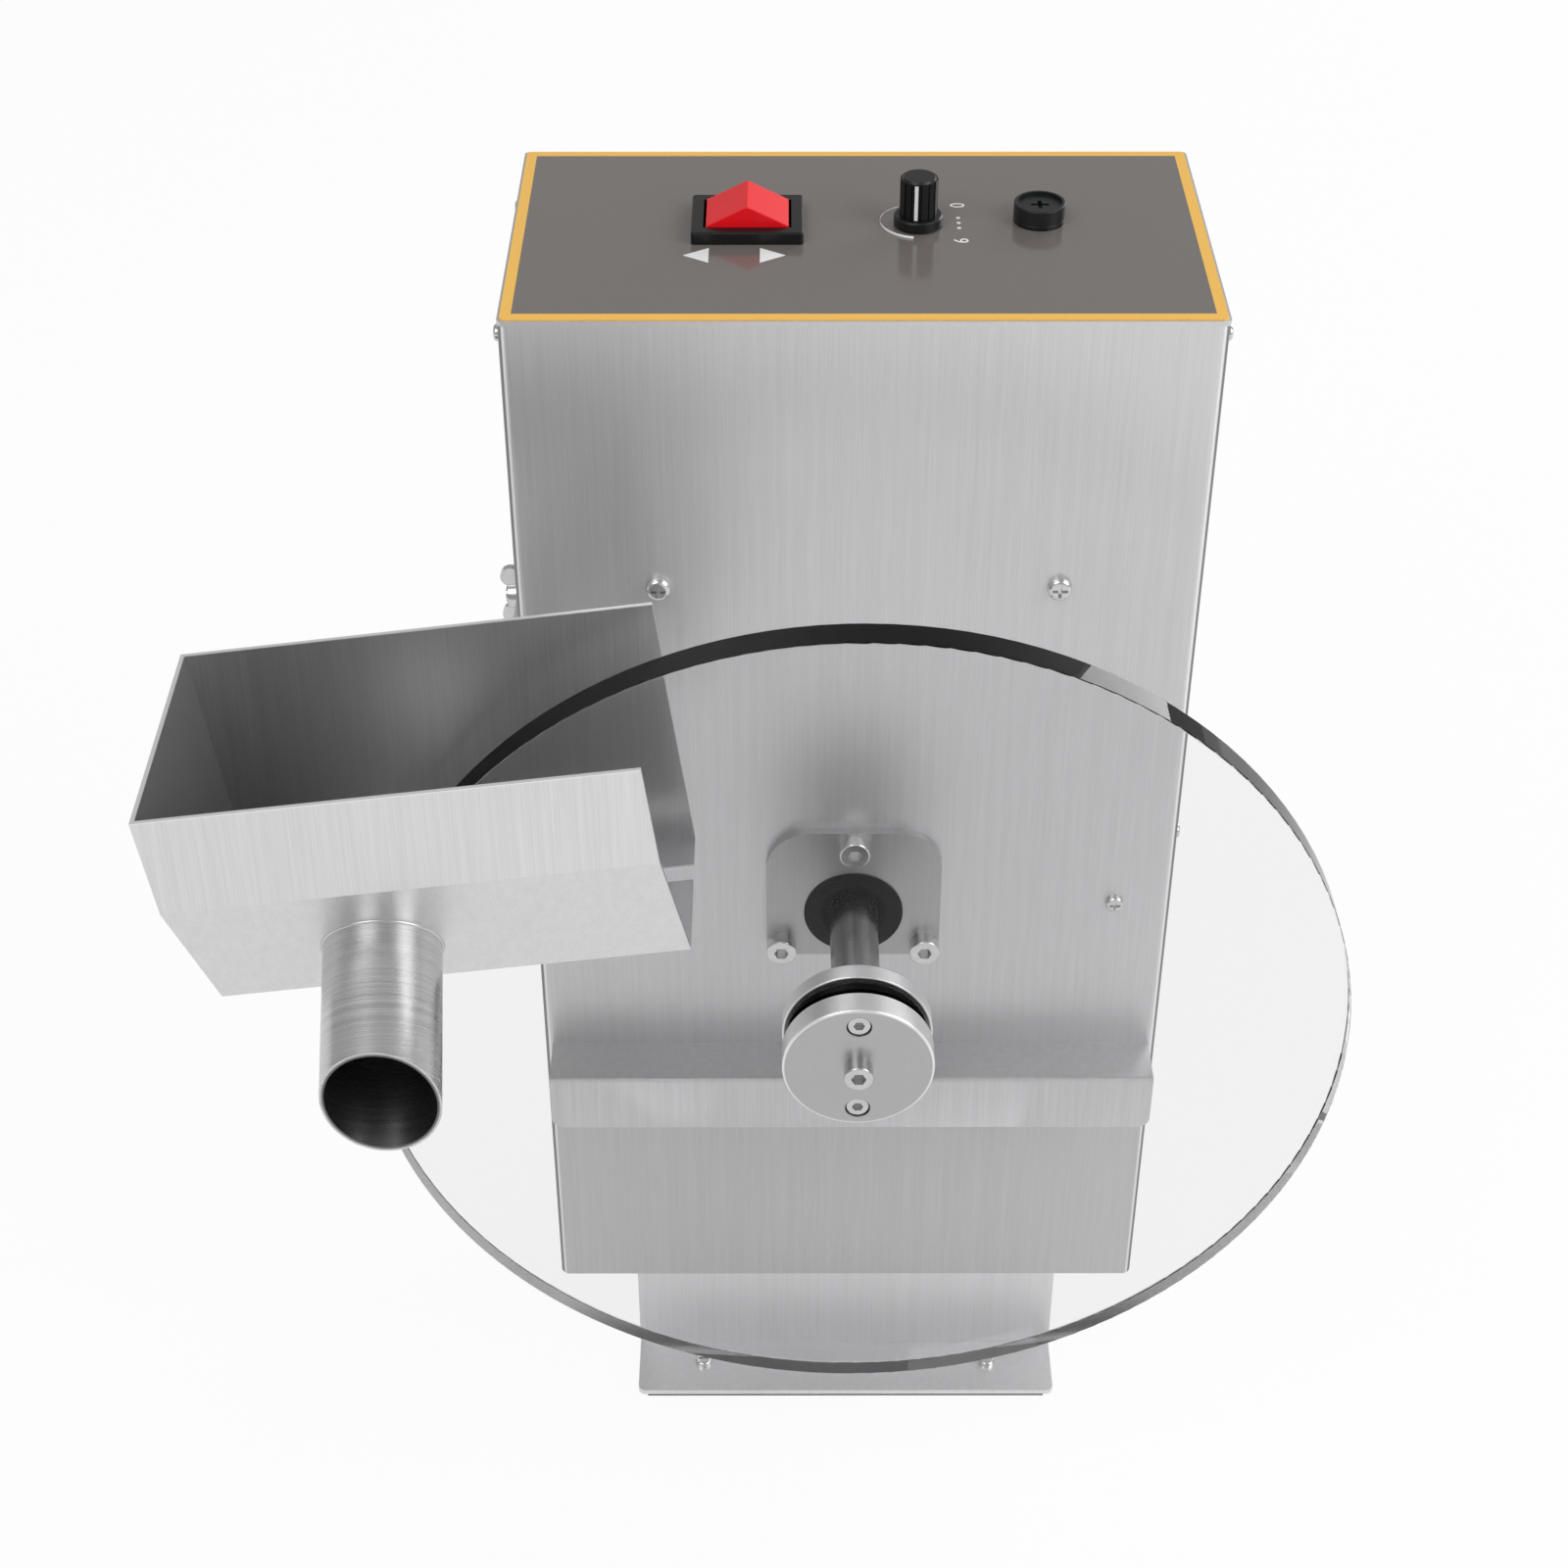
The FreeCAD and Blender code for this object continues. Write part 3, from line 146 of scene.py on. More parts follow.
class Tree:
    """Builds one material's nodes."""

    def __init__(self, name: str) -> None:
        """Make an empty material with an output and a Principled shader."""
        self.material = bpy.data.materials.new(name)
        self.material.use_nodes = True
        self.nodes = self.material.node_tree.nodes
        self.links = self.material.node_tree.links
        self.nodes.clear()
        self.output = self.nodes.new("ShaderNodeOutputMaterial")
        self.shader = self.nodes.new("ShaderNodeBsdfPrincipled")
        self.links.new(self.shader.outputs[0], self.output.inputs["Surface"])

    def add(self, kind: str, settings: dict[str, Any], values: dict[Any, Any],
            out: Union[int, str] = 0) -> Socket:
        """Add a node.

        Args:
            kind: Node type.
            settings: Properties to set first.
            values: Input sockets by name or number, with numbers, colours or links.
            out: Which output to return.

        Returns:
            The wrapped output socket.
        """
        node = self.nodes.new(kind)
        for key, val in settings.items():
            setattr(node, key, val)
        for key, val in values.items():
            self.put(node.inputs[key], val)
        return Socket(self, node.outputs[out])

    def put(self, socket: Any, val: Any) -> None:
        """Link or set one input socket."""
        if isinstance(val, Socket):
            self.links.new(val.link, socket)
        else:
            socket.default_value = val

    def surface(self, **values: Any) -> None:
        """Set or link inputs of the Principled shader, by name with underscores."""
        for key, val in values.items():
            self.put(self.shader.inputs[key.replace("_", " ")], val)

    def place(self, scale: Sequence[float] = (1, 1, 1),
              turn: Sequence[float] = (0, 0, 0)) -> Socket:
        """Object coordinates through a Mapping node.

        Args:
            scale: Scale along X, Y and Z.
            turn: Rotation in degrees.

        Returns:
            The mapped vector.
        """
        at = self.add("ShaderNodeTexCoord", {}, {}, "Object")
        return self.add("ShaderNodeMapping", {}, {"Vector": at, "Scale": tuple(scale),
                                                  "Rotation": tuple(math.radians(a) for a in turn)})

    def axes(self) -> tuple[Socket, Socket, Socket]:
        """Object coordinates as three numbers, in metres."""
        at = self.add("ShaderNodeTexCoord", {}, {}, "Object")
        node = self.nodes.new("ShaderNodeSeparateXYZ")
        self.put(node.inputs[0], at)
        return tuple(Socket(self, node.outputs[i]) for i in range(3))

    def offset(self, origin: Sequence[float]) -> Socket:
        """Object coordinates measured from a point.

        Args:
            origin: The point, in metres.

        Returns:
            The vector from that point.
        """
        at = self.add("ShaderNodeTexCoord", {}, {}, "Object")
        return self.add("ShaderNodeVectorMath", {"operation": "SUBTRACT"},
                        {0: at, 1: tuple(origin)})

    def dot(self, first: Any, second: Any) -> Socket:
        """Dot product of two vectors."""
        return self.add("ShaderNodeVectorMath", {"operation": "DOT_PRODUCT"},
                        {0: first, 1: second}, "Value")

    def lines(self, along: Socket, scale: float, detail: float = 2.0) -> Socket:
        """Noise that changes only with one number, as fine parallel marks do."""
        return self.add("ShaderNodeTexNoise", {"noise_dimensions": "1D"},
                        {"W": along, "Scale": scale, "Detail": detail}, "Fac")

    def noise(self, scale: float, detail: float = 3.0, vector: Any = None,
              roughness: float = 0.5) -> Socket:
        """Noise as a number between 0 and 1."""
        values = {"Scale": scale, "Detail": detail, "Roughness": roughness}
        values["Vector"] = vector if vector is not None else self.place()
        return self.add("ShaderNodeTexNoise", {}, values, "Fac")

    def mix(self, factor: Any, first: Any, second: Any) -> Socket:
        """Blend two colours."""
        node = self.nodes.new("ShaderNodeMix")
        node.data_type = "RGBA"
        for name, val in (("Factor_Float", factor), ("A_Color", first), ("B_Color", second)):
            socket = next(s for s in node.inputs if s.identifier == name)
            self.put(socket, val)
        return Socket(self, next(s for s in node.outputs if s.identifier == "Result_Color"))

    def bump(self, height: Any, strength: float, distance: float) -> None:
        """Feed the shader's normal from a height."""
        normal = self.add("ShaderNodeBump", {}, {"Height": height, "Strength": strength,
                                                 "Distance": distance})
        self.put(self.shader.inputs["Normal"], normal)


@dataclass(frozen=True)
class BrushedSteel:
    """Stainless sheet with fine straight brushing."""

    name: str
    grain: Grain = Grain.UPRIGHT
    turn: tuple[float, float, float] = (0.0, 0.0, 0.0)
    light: float = 0.74
    dark: float = 0.64
    rough: float = 0.4
    metal: float = 0.84

    def streaks(self, t: Tree) -> tuple[Socket, Socket]:
        """Fine brushing lines and slow cloudiness.

        Args:
            t: The material's tree.

        Returns:
            The line pattern and the cloud pattern, both about 0 to 1.
        """
        vec = t.place(self.grain.value, self.turn)
        streak = t.noise(2600.0, 2.0, vec) * 0.6 + t.noise(420.0, 3.0, vec) * 0.4
        return streak, t.noise(9.0, 2.0)

    def tone(self, t: Tree, streak: Socket) -> Socket:
        """Sheet colour with its brushing."""
        low = (self.dark, self.dark, self.dark * 1.01, 1.0)
        high = (self.light, self.light, self.light * 1.01, 1.0)
        return t.mix(streak.ramp(0.3, 0.7), low, high)

    def build(self) -> bpy.types.Material:
        """Make the material.

        Returns:
            The finished material.
        """
        t = Tree(self.name)
        streak, cloud = self.streaks(t)
        t.surface(Base_Color=self.tone(t, streak), Metallic=self.metal,
                  Roughness=streak * 0.16 + cloud * 0.05 + (self.rough - 0.1))
        t.bump(streak, 0.12, 0.00006)
        return t.material


@dataclass(frozen=True)
class CasingSteel(BrushedSteel):
    """Brushed sheet with a painted highlight line and a painted dark reflection along the bends at
    both sides of the front, and painted shade below the hook's lip.
    """

    half: float = 0.1
    lip: float = 0.129
    # colour of the painted dark reflection on the outer strip of each front bend
    shade: float = 0.16
    # share of the colour kept under the painted shade below the hook's lip
    under: float = 0.82

    def build(self) -> bpy.types.Material:
        """Make the material."""
        t = Tree(self.name)
        streak, cloud = self.streaks(t)
        x, y, z = t.axes()
        side = abs(x)
        front = (y - 0.0035) < 0.0
        # painted dark reflection: the outermost strip of each front bend is painted near black
        painted_dark_bend = side.ramp(self.half - 0.0013, self.half - 0.0009) * front
        # painted highlight: a thin bright line is painted just inside each front bend
        painted_highlight_line = side.ramp(self.half - 0.0021, self.half - 0.0017) * (1.0 - painted_dark_bend) * front
        # painted shade: the front panel below the rim hook's lip is darkened towards black
        painted_shade_below_lip = z.ramp(self.lip - 0.0004, self.lip + 0.0002, 1.0, 0.0) * (y < 0.001)
        tone = self.tone(t, streak)
        tone = t.mix(painted_shade_below_lip * (1.0 - self.under), tone, (0.0, 0.0, 0.0, 1.0))
        tone = t.mix(painted_highlight_line * 0.7, tone, (0.95, 0.95, 0.95, 1.0))
        tone = t.mix(painted_dark_bend * 0.9, tone, (self.shade, self.shade, self.shade, 1.0))
        t.surface(Base_Color=tone, Metallic=self.metal,
                  Roughness=streak * 0.16 + cloud * 0.05 + (self.rough - 0.1))
        t.bump(streak, 0.12, 0.00006)
        return t.material


@dataclass(frozen=True)
class Trough:
    """Sizes and place of the hopper and its spout, in millimetres and degrees."""

    depth: float = 79.0
    width: float = 75.8
    fold: float = 30.1
    floor: float = 53.1
    length: float = 131.3
    sheet: float = 1.2
    roll: float = 7.5
    spout_x: float = 80.5
    spout_drop: float = 32.5
    spout_radius: float = 16.0

    @property
    def corner(self) -> tuple[float, float, float]:
        """Right rear corner of the rim, in metres."""
        low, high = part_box("hopper")
        return (high[0] - self.depth * MM * math.sin(math.radians(self.roll)), high[1], high[2])

    @property
    def slope(self) -> float:
        """Lean of the lower front wall, in radians."""
        return math.atan2(self.width - self.floor, self.depth - self.fold)

    @property
    def along(self) -> tuple[float, float, float]:
        """Direction of the trough's length."""
        turn = math.radians(self.roll)
        return (math.cos(turn), 0.0, math.sin(turn))

    @property
    def up(self) -> tuple[float, float, float]:
        """Direction from the trough's floor to its rim."""
        turn = math.radians(self.roll)
        return (-math.sin(turn), 0.0, math.cos(turn))

    def world(self, x: float, y: float, z: float) -> Vector:
        """A point of the trough's own frame, in the model's frame.

        Args:
            x: Along the rim, in millimetres.
            y: Across, in millimetres.
            z: Up from the rim, in millimetres.

        Returns:
            The point in metres.
        """
        return (Vector(self.corner) + Vector(self.along) * x * MM + Vector((0, 1, 0)) * y * MM
                + Vector(self.up) * z * MM)

    @property
    def spout_root(self) -> Vector:
        """Centre of the spout where it meets the lower front wall."""
        lean = self.slope
        return self.world(-self.spout_x, -self.width + self.spout_drop * math.sin(lean),
                          -self.fold - self.spout_drop * math.cos(lean))

    @property
    def spout_axis(self) -> Vector:
        """Direction in which the spout points."""
        lean = self.slope
        return (Vector((0, -1, 0)) * math.cos(lean) - Vector(self.up) * math.sin(lean)).normalized()


@dataclass(frozen=True)
class HopperSteel(BrushedSteel):
    """Brushed sheet with painted shade inside the trough, stronger towards its left end and lower
    down, and a painted highlight along its rim.
    """

    trough: Trough = field(default_factory=Trough)
    # strength of the painted shade inside the trough
    inside: float = 0.55
    # colour of the painted highlight along the rim's top edge
    rim: float = 0.95

    def build(self) -> bpy.types.Material:
        """Make the material."""
        t = Tree(self.name)
        g = self.trough
        at = t.offset(g.corner)
        x, y, z = (t.dot(at, axis) * 1000.0 for axis in (g.along, (0.0, 1.0, 0.0), g.up))
        lean = g.slope
        slope = (y + g.width) * math.cos(lean) + (z + g.fold) * math.sin(lean)
        depth = (-y).minimum(y + g.width).minimum(z + g.depth).minimum(x + g.length).minimum(slope)
        # the trough's inner faces, which get the painted shade
        painted_shade_zone = depth.ramp(g.sheet * 0.4, g.sheet * 0.6)
        # painted shade: darker towards the trough's left end and lower down
        painted_inside_shade = x.ramp(-g.length, -10.0, 1.0, 0.45) * (z + y * 0.4).ramp(-60.0, 0.0, 1.0, 0.6)
        # painted highlight: the rim's top edge is painted near white
        edge = z.ramp(-0.35, -0.15)
        streak, cloud = self.streaks(t)
        tone = self.tone(t, streak)
        tone = t.mix(painted_shade_zone * painted_inside_shade * self.inside, tone, (0.02, 0.02, 0.02, 1.0))
        tone = t.mix(edge, tone, (self.rim, self.rim, self.rim, 1.0))
        t.surface(Base_Color=tone, Metallic=self.metal,
                  Roughness=streak * 0.16 + cloud * 0.05 + (self.rough - 0.1))
        t.bump(streak, 0.12, 0.00006)
        return t.material


@dataclass(frozen=True)
class SpoutSteel:
    """Tube polished on a lathe, with fine rings round it and painted shade in its bore."""

    trough: Trough
    name: str = "ringed_spout"
    light: float = 0.72
    dark: float = 0.5
    # colour of the painted shade in the bore
    bore: float = 0.16
    rough: float = 0.27

    def build(self) -> bpy.types.Material:
        """Make the material."""
        t = Tree(self.name)
        at = t.offset(self.trough.spout_root)
        along = t.dot(at, tuple(self.trough.spout_axis))
        out = (t.dot(at, at) - along * along).root()
        rings = t.lines(along, 3200.0, 3.0) * 0.6 + t.lines(along, 600.0) * 0.4
        cloud = t.noise(20.0, 2.0)
        tone = t.mix(rings.ramp(0.3, 0.7), (self.dark,) * 3 + (1.0,), (self.light,) * 3 + (1.0,))
        # painted shade: the bore inside the tube is painted dark
        painted_shade_zone = out.ramp(0.0152, 0.0156, 1.0, 0.0)
        t.surface(Base_Color=t.mix(painted_shade_zone, tone, (self.bore,) * 3 + (1.0,)), Metallic=0.95,
                  Roughness=rings * 0.14 + cloud * 0.04 + (self.rough - 0.09))
        t.bump(rings, 0.18, 0.00006)
        return t.material


@dataclass(frozen=True)
class TurnedSteel:
    """Machined or polished steel of shafts, clamps and screws."""

    name: str
    tone: float = 0.6
    rough: float = 0.2
    mark: float = 900.0

    def build(self) -> bpy.types.Material:
        """Make the material."""
        t = Tree(self.name)
        wear = t.noise(self.mark, 2.0)
        cloud = t.noise(40.0, 2.0)
        low = (self.tone * 0.92, self.tone * 0.92, self.tone * 0.93, 1.0)
        high = (self.tone, self.tone, self.tone * 1.01, 1.0)
        t.surface(Base_Color=t.mix(cloud, low, high), Metallic=1.0,
                  Roughness=wear * 0.08 + cloud * 0.06 + (self.rough - 0.07))
        t.bump(wear, 0.05, 0.00002)
        return t.material


@dataclass(frozen=True)
class FacedSteel:
    """Disc faced on a lathe: rings about an axis along Y, and a painted highlight ring on its outer
    corner.
    """

    name: str
    centre: tuple[float, float, float]
    radius: float
    tone: float = 0.5
    rough: float = 0.34

    def build(self) -> bpy.types.Material:
        """Make the material."""
        t = Tree(self.name)
        at = t.offset(self.centre)
        x, z = t.dot(at, (1.0, 0.0, 0.0)), t.dot(at, (0.0, 0.0, 1.0))
        out = (x * x + z * z).root()
        rings = t.lines(out, 2600.0)
        # painted highlight: a bright ring painted at the outer corner
        corner = out.ramp(self.radius - 0.0009, self.radius - 0.0005)
        low = (self.tone * 0.84,) * 3 + (1.0,)
        tone = t.mix(rings, low, (self.tone,) * 3 + (1.0,))
        t.surface(Base_Color=t.mix(corner, tone, (0.86, 0.86, 0.86, 1.0)), Metallic=0.95,
                  Roughness=rings * 0.14 + (self.rough - 0.07))
        t.bump(rings, 0.12, 0.00004)
        return t.material


@dataclass(frozen=True)
class ScrewSteel:
    """Bright screws and small turned fixings."""

    name: str
    tone: float = 0.74
    rough: float = 0.18

    def build(self) -> bpy.types.Material:
        """Make the material."""
        t = Tree(self.name)
        wear = t.noise(1400.0, 2.0)
        cloud = t.noise(300.0, 2.0)
        low = (self.tone * 0.8,) * 3 + (1.0,)
        t.surface(Base_Color=t.mix(cloud, low, (self.tone,) * 3 + (1.0,)), Metallic=1.0,
                  Roughness=wear * 0.1 + (self.rough - 0.05))
        t.bump(wear, 0.08, 0.00002)
        return t.material


@dataclass(frozen=True)
class ClearAcrylic:
    """Polished clear sheet, very slightly grey."""

    name: str = "clear_acrylic"
    tint: float = 0.9

    def build(self) -> bpy.types.Material:
        """Make the material."""
        t = Tree(self.name)
        smear = t.noise(14.0, 2.0)
        t.surface(Base_Color=(self.tint, self.tint, self.tint * 1.005, 1.0),
                  Transmission_Weight=1.0,
                  IOR=1.49, Specular_Tint=(0.12, 0.12, 0.12, 1.0),
                  Roughness=smear.ramp(0.4, 0.9, 0.0, 0.012))
        return t.material


@dataclass(frozen=True)
class OverlayPrint:
    """Glossy printed panel with a coloured border line."""

    name: str = "overlay_print"
    border: float = 3.1
    ink: Colour = (0.155, 0.139, 0.13, 1.0)
    line: Colour = (0.92, 0.52, 0.085, 1.0)

    def build(self) -> bpy.types.Material:
        """Make the material."""
        t = Tree(self.name)
        low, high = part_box("control_overlay")
        mid = [(low[i] + high[i]) / 2 for i in range(3)]
        half = [(high[i] - low[i]) / 2 for i in range(3)]
        x, y, _ = t.axes()
        out_x = abs(x - mid[0]) - (half[0] - self.border * MM)
        out_y = abs(y - mid[1]) - (half[1] - self.border * MM)
        edge = out_x.maximum(out_y).ramp(-0.00005, 0.00005)
        fleck = t.noise(1800.0, 2.0)
        ink = t.mix(fleck, self.ink, tuple(c * 1.12 for c in self.ink[:3]) + (1.0,))
        t.surface(Base_Color=t.mix(edge, ink, self.line), Metallic=0.0, IOR=1.5,
                  Roughness=fleck * 0.05 + 0.14, Coat_Weight=0.2)
        t.shader.inputs["Coat Roughness"].default_value = 0.05
        t.bump(fleck, 0.04, 0.00002)
        return t.material


@dataclass(frozen=True)
class Moulding:
    """Moulded plastic or rubber with a faint skin."""

    name: str
    colour: Colour
    rough: float = 0.35
    grain: float = 1500.0
    skin: float = 0.06
    shine: float = 0.5

    def build(self) -> bpy.types.Material:
        """Make the material."""
        t = Tree(self.name)
        fine = t.noise(self.grain, 2.0)
        cloud = t.noise(60.0, 2.0)
        low = tuple(c * 0.9 for c in self.colour[:3]) + (1.0,)
        t.surface(Base_Color=t.mix(cloud, low, self.colour), Metallic=0.0,
                  Specular_IOR_Level=self.shine, Roughness=fine * 0.1 + (self.rough - 0.05))
        t.bump(fine, self.skin, 0.00004)
        return t.material


@dataclass(frozen=True)
class Casting:
    """Satin cast metal of the drive housings."""

    name: str
    colour: Colour
    rough: float = 0.45
    metal: float = 1.0

    def build(self) -> bpy.types.Material:
        """Make the material."""
        t = Tree(self.name)
        sand = t.noise(700.0, 4.0)
        low = tuple(c * 0.82 for c in self.colour[:3]) + (1.0,)
        t.surface(Base_Color=t.mix(sand, low, self.colour), Metallic=self.metal,
                  Roughness=sand * 0.2 + (self.rough - 0.1))
        t.bump(sand, 0.25, 0.0001)
        return t.material


@dataclass(frozen=True)
class Floor:
    """Pale ground that is white to the camera and keeps shadows."""

    name: str = "ground"
    shade: float = 0.86
    plain: float = 0.93
    mirrored: float = 0.6

    def build(self) -> bpy.types.Material:
        """Make the material."""
        t = Tree(self.name)
        dust = t.noise(3.0, 2.0)
        low = (self.shade * 0.99, self.shade * 0.99, self.shade * 0.99, 1.0)
        high = (self.shade, self.shade, self.shade, 1.0)
        t.surface(Base_Color=t.mix(dust, low, high), Metallic=0.0, Roughness=0.9,
                  Specular_IOR_Level=0.1)
        direct = t.add("ShaderNodeLightPath", {}, {}, "Is Camera Ray").maximum(
            t.add("ShaderNodeLightPath", {}, {}, "Is Transmission Ray"))
        mirrored = t.add("ShaderNodeLightPath", {}, {}, "Is Glossy Ray")
        white = t.add("ShaderNodeEmission", {}, {"Strength": 1.0})
        both = t.add("ShaderNodeMixShader", {},
                     {0: (direct * self.plain).maximum(mirrored * self.mirrored),
                      1: Socket(t, t.shader.outputs[0]), 2: white})
        t.put(t.output.inputs["Surface"], both)
        return t.material


def dress(material: bpy.types.Material, *nodes: str) -> None:
    """Give CAD nodes a finished material.

    Args:
        material: The finish.
        nodes: Names of CAD nodes.
    """
    for name in nodes:
        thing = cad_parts[name]
        if not thing.material_slots:
            thing.data.materials.append(material)
        for place in thing.material_slots:
            place.material = material
    LOG.info("finish %s on %s", material.name, ", ".join(nodes))


def settle(data: bpy.types.Mesh, name: str, body: str) -> bpy.types.Object:
    """Put a finished mesh in the scene as a piece that rides on a body.

    Args:
        data: The mesh, in metres, with its material.
        name: Piece name.
        body: CAD body it rides on.

    Returns:
        The new object.
    """
    piece = bpy.data.objects.new(name, data)
    bpy.context.scene.collection.objects.link(piece)
    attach(piece, body)
    LOG.info("piece %s on %s, %d faces", name, body, len(data.polygons))
    return piece


def mesh_piece(name: str, build: Callable[[bmesh.types.BMesh], None],
               material: bpy.types.Material, body: str) -> bpy.types.Object:
    """Make a piece from bmesh code.

    Args:
        name: Piece name.
        build: Function that fills an empty bmesh, in metres.
        material: Its finish.
        body: CAD body it rides on.

    Returns:
        The new object.
    """
    shape = bmesh.new()
    build(shape)
    bmesh.ops.recalc_face_normals(shape, faces=shape.faces)
    data = bpy.data.meshes.new(name)
    shape.to_mesh(data)
    shape.free()
    data.materials.append(material)
    return settle(data, name, body)


def slab(shape: bmesh.types.BMesh, outline: Sequence[tuple[float, float]], low: float,
         high: float) -> None:
    """Add an upright prism from an outline in X and Y.

    Args:
        shape: The mesh to add to.
        outline: Corners in order, in metres.
        low: Lower height.
        high: Upper height.
    """
    under = [shape.verts.new((x, y, low)) for x, y in outline]
    over = [shape.verts.new((x, y, high)) for x, y in outline]
    count = len(outline)
    shape.faces.new(list(reversed(under)))
    shape.faces.new(over)
    for i in range(count):
        j = (i + 1) % count
        shape.faces.new([under[i], under[j], over[j], over[i]])


class Grower:
    """Builds one Geometry Nodes tree with named inputs and grows a mesh from it."""

    KINDS = {float: "NodeSocketFloat", int: "NodeSocketInt", tuple: "NodeSocketVector"}

    def __init__(self, name: str, **sizes: Any) -> None:
        """Make the tree with one named input for each size.

        Args:
            name: Tree name.
            sizes: Input names with their values.
        """
        self.name = name
        self.group = bpy.data.node_groups.new(name, "GeometryNodeTree")
        self.sizes = sizes
        self.keys: dict[str, str] = {}
        for key, val in sizes.items():
            socket = self.group.interface.new_socket(name=key, in_out="INPUT",
                                                     socket_type=self.KINDS[type(val)])
            self.keys[key] = socket.identifier
        finish_socket = self.group.interface.new_socket(name="finish", in_out="INPUT",
                                                        socket_type="NodeSocketMaterial")
        self.keys["finish"] = finish_socket.identifier
        self.group.interface.new_socket(name="Geometry", in_out="OUTPUT",
                                        socket_type="NodeSocketGeometry")
        self.entry = self.group.nodes.new("NodeGroupInput")
        self.exit = self.group.nodes.new("NodeGroupOutput")

    def size(self, key: str) -> Any:
        """The named input's socket."""
        return self.entry.outputs[key]

    def add(self, kind: str, settings: dict[str, Any], values: dict[Any, Any],
            out: Union[int, str] = 0) -> Any:
        """Add a node.

        Args:
            kind: Node type.
            settings: Properties to set first.
            values: Input sockets by name or number, with values or output sockets.
            out: Which output to return.

        Returns:
            The output socket.
        """
        node = self.group.nodes.new(kind)
        for key, val in settings.items():
            setattr(node, key, val)
        for key, val in values.items():
            if isinstance(val, bpy.types.NodeSocket):
                self.group.links.new(val, node.inputs[key])
            else:
                node.inputs[key].default_value = val
        return node.outputs[out]

    def grow(self, geometry: Any, material: bpy.types.Material, body: str,
             slot: str) -> bpy.types.Object:
        """Close the tree, run it and keep its mesh as a piece.

        Args:
            geometry: The last geometry socket.
            material: The finish.
            body: CAD body it rides on.
            slot: Not used.

        Returns:
            The new piece.
        """
        whole = self.add("GeometryNodeRealizeInstances", {}, {0: geometry})
        done = self.add("GeometryNodeSetMaterial", {}, {"Geometry": whole,
                                                        "Material": self.size("finish")})
        self.group.links.new(done, self.exit.inputs[0])
        seed = bpy.data.objects.new(self.name + "_seed", bpy.data.meshes.new(self.name + "_seed"))
        bpy.context.scene.collection.objects.link(seed)
        modifier = seed.modifiers.new("grow", "NODES")
        modifier.node_group = self.group
        for key, val in {**self.sizes, "finish": material}.items():
            modifier[self.keys[key]] = val
        graph = bpy.context.evaluated_depsgraph_get()
        data = bpy.data.meshes.new_from_object(seed.evaluated_get(graph))
        seed.modifiers.clear()
        bpy.data.objects.remove(seed)
        data.name = self.name
        if not data.materials:
            data.materials.append(material)
        return settle(data, self.name, body)


@dataclass
class Housing:
    """Sheet casing, covers, feet, rim hook and what stands behind the front panel."""

    solder_count: int = 9
    solder_pitch: float = 7.2
    solder_radius: float = 1.1
    solder_rise: float = 0.8

    def dress(self) -> None:
        """Finish the sheets, screws and drive parts."""
        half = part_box("casing")[1][0]
        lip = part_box("rim_hook")[0][2]
        dress(CasingSteel("brushed_casing", half=half, lip=lip).build(), "casing")
        dress(BrushedSteel("brushed_upright").build(), "rear_cover", "bottom_plate", "hopper_arm")
        dress(BrushedSteel("brushed_hook", light=0.72, dark=0.6, rough=0.36).build(), "rim_hook")
        dress(BrushedSteel("brushed_feet", light=0.84, dark=0.74, rough=0.42).build(),
              "front_foot", "rear_foot")
        dress(BrushedSteel("brushed_lid", Grain.DEEP).build(), "lid")
        dress(BrushedSteel("ground_flange", light=0.5, dark=0.44).build(), "bearing_flange")
        dress(ScrewSteel("bright_screws").build(), "panel_screws", "side_screws", "flange_screws",
              "foot_screws", "foot_bolts", "small_screws", "cover_screws")
        dress(TurnedSteel("plain_plate", 0.5, 0.4, 300.0).build(), "mount_plate", "board_bracket",
              "front_bearing", "gearbox_bearings")
        dress(Casting("cast_housing", (0.55, 0.56, 0.57, 1.0)).build(), "gearbox_housing",
              "gearbox_cover", "bearing_housing", "motor_can", "motor_cap", "heat_sink")
        dress(Casting("laminations", (0.25, 0.25, 0.27, 1.0)).build(), "motor_stator",
              "motor_rotor")
        dress(Casting("bronze_gear", (0.6, 0.38, 0.16, 1.0), 0.3).build(), "worm_wheel")
        dress(Moulding("seal_rubber", (0.006, 0.006, 0.006, 1.0), 0.6, 900.0, 0.2, 0.25).build(),
              "shaft_seal", "foot_strips")
        dress(Moulding("green_laminate", (0.03, 0.2, 0.07, 1.0), 0.4).build(), "speed_board")
        dress(Moulding("terminal_green", (0.05, 0.35, 0.1, 1.0), 0.45).build(), "terminal_block")

    def solder(self) -> None:
        """A row of solder joints on the speed board's component side."""
        low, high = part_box("speed_board")
        g = Grower("board_solder", count=self.solder_count,
                   pitch=(self.solder_pitch * MM, 0.0, 0.0),
                   radius=self.solder_radius * MM, rise=self.solder_rise * MM,
                   start=(low[0] + 0.007, high[1] + 0.0004, low[2] + 0.047))
        row = g.add("GeometryNodeMeshLine", {"mode": "OFFSET"},
                    {"Count": g.size("count"), "Start Location": g.size("start"),
                     "Offset": g.size("pitch")})
        blob = g.add("GeometryNodeMeshCone", {},
                     {"Vertices": 12, "Radius Top": 0.0003, "Radius Bottom": g.size("radius"),
                      "Depth": g.size("rise")})
        joints = g.add("GeometryNodeInstanceOnPoints", {},
                       {"Points": row, "Instance": blob,
                        "Rotation": (math.radians(-90), 0.0, 0.0)})
        g.grow(joints, TurnedSteel("solder_tin", 0.7, 0.25).build(), "base", "bright_steel")


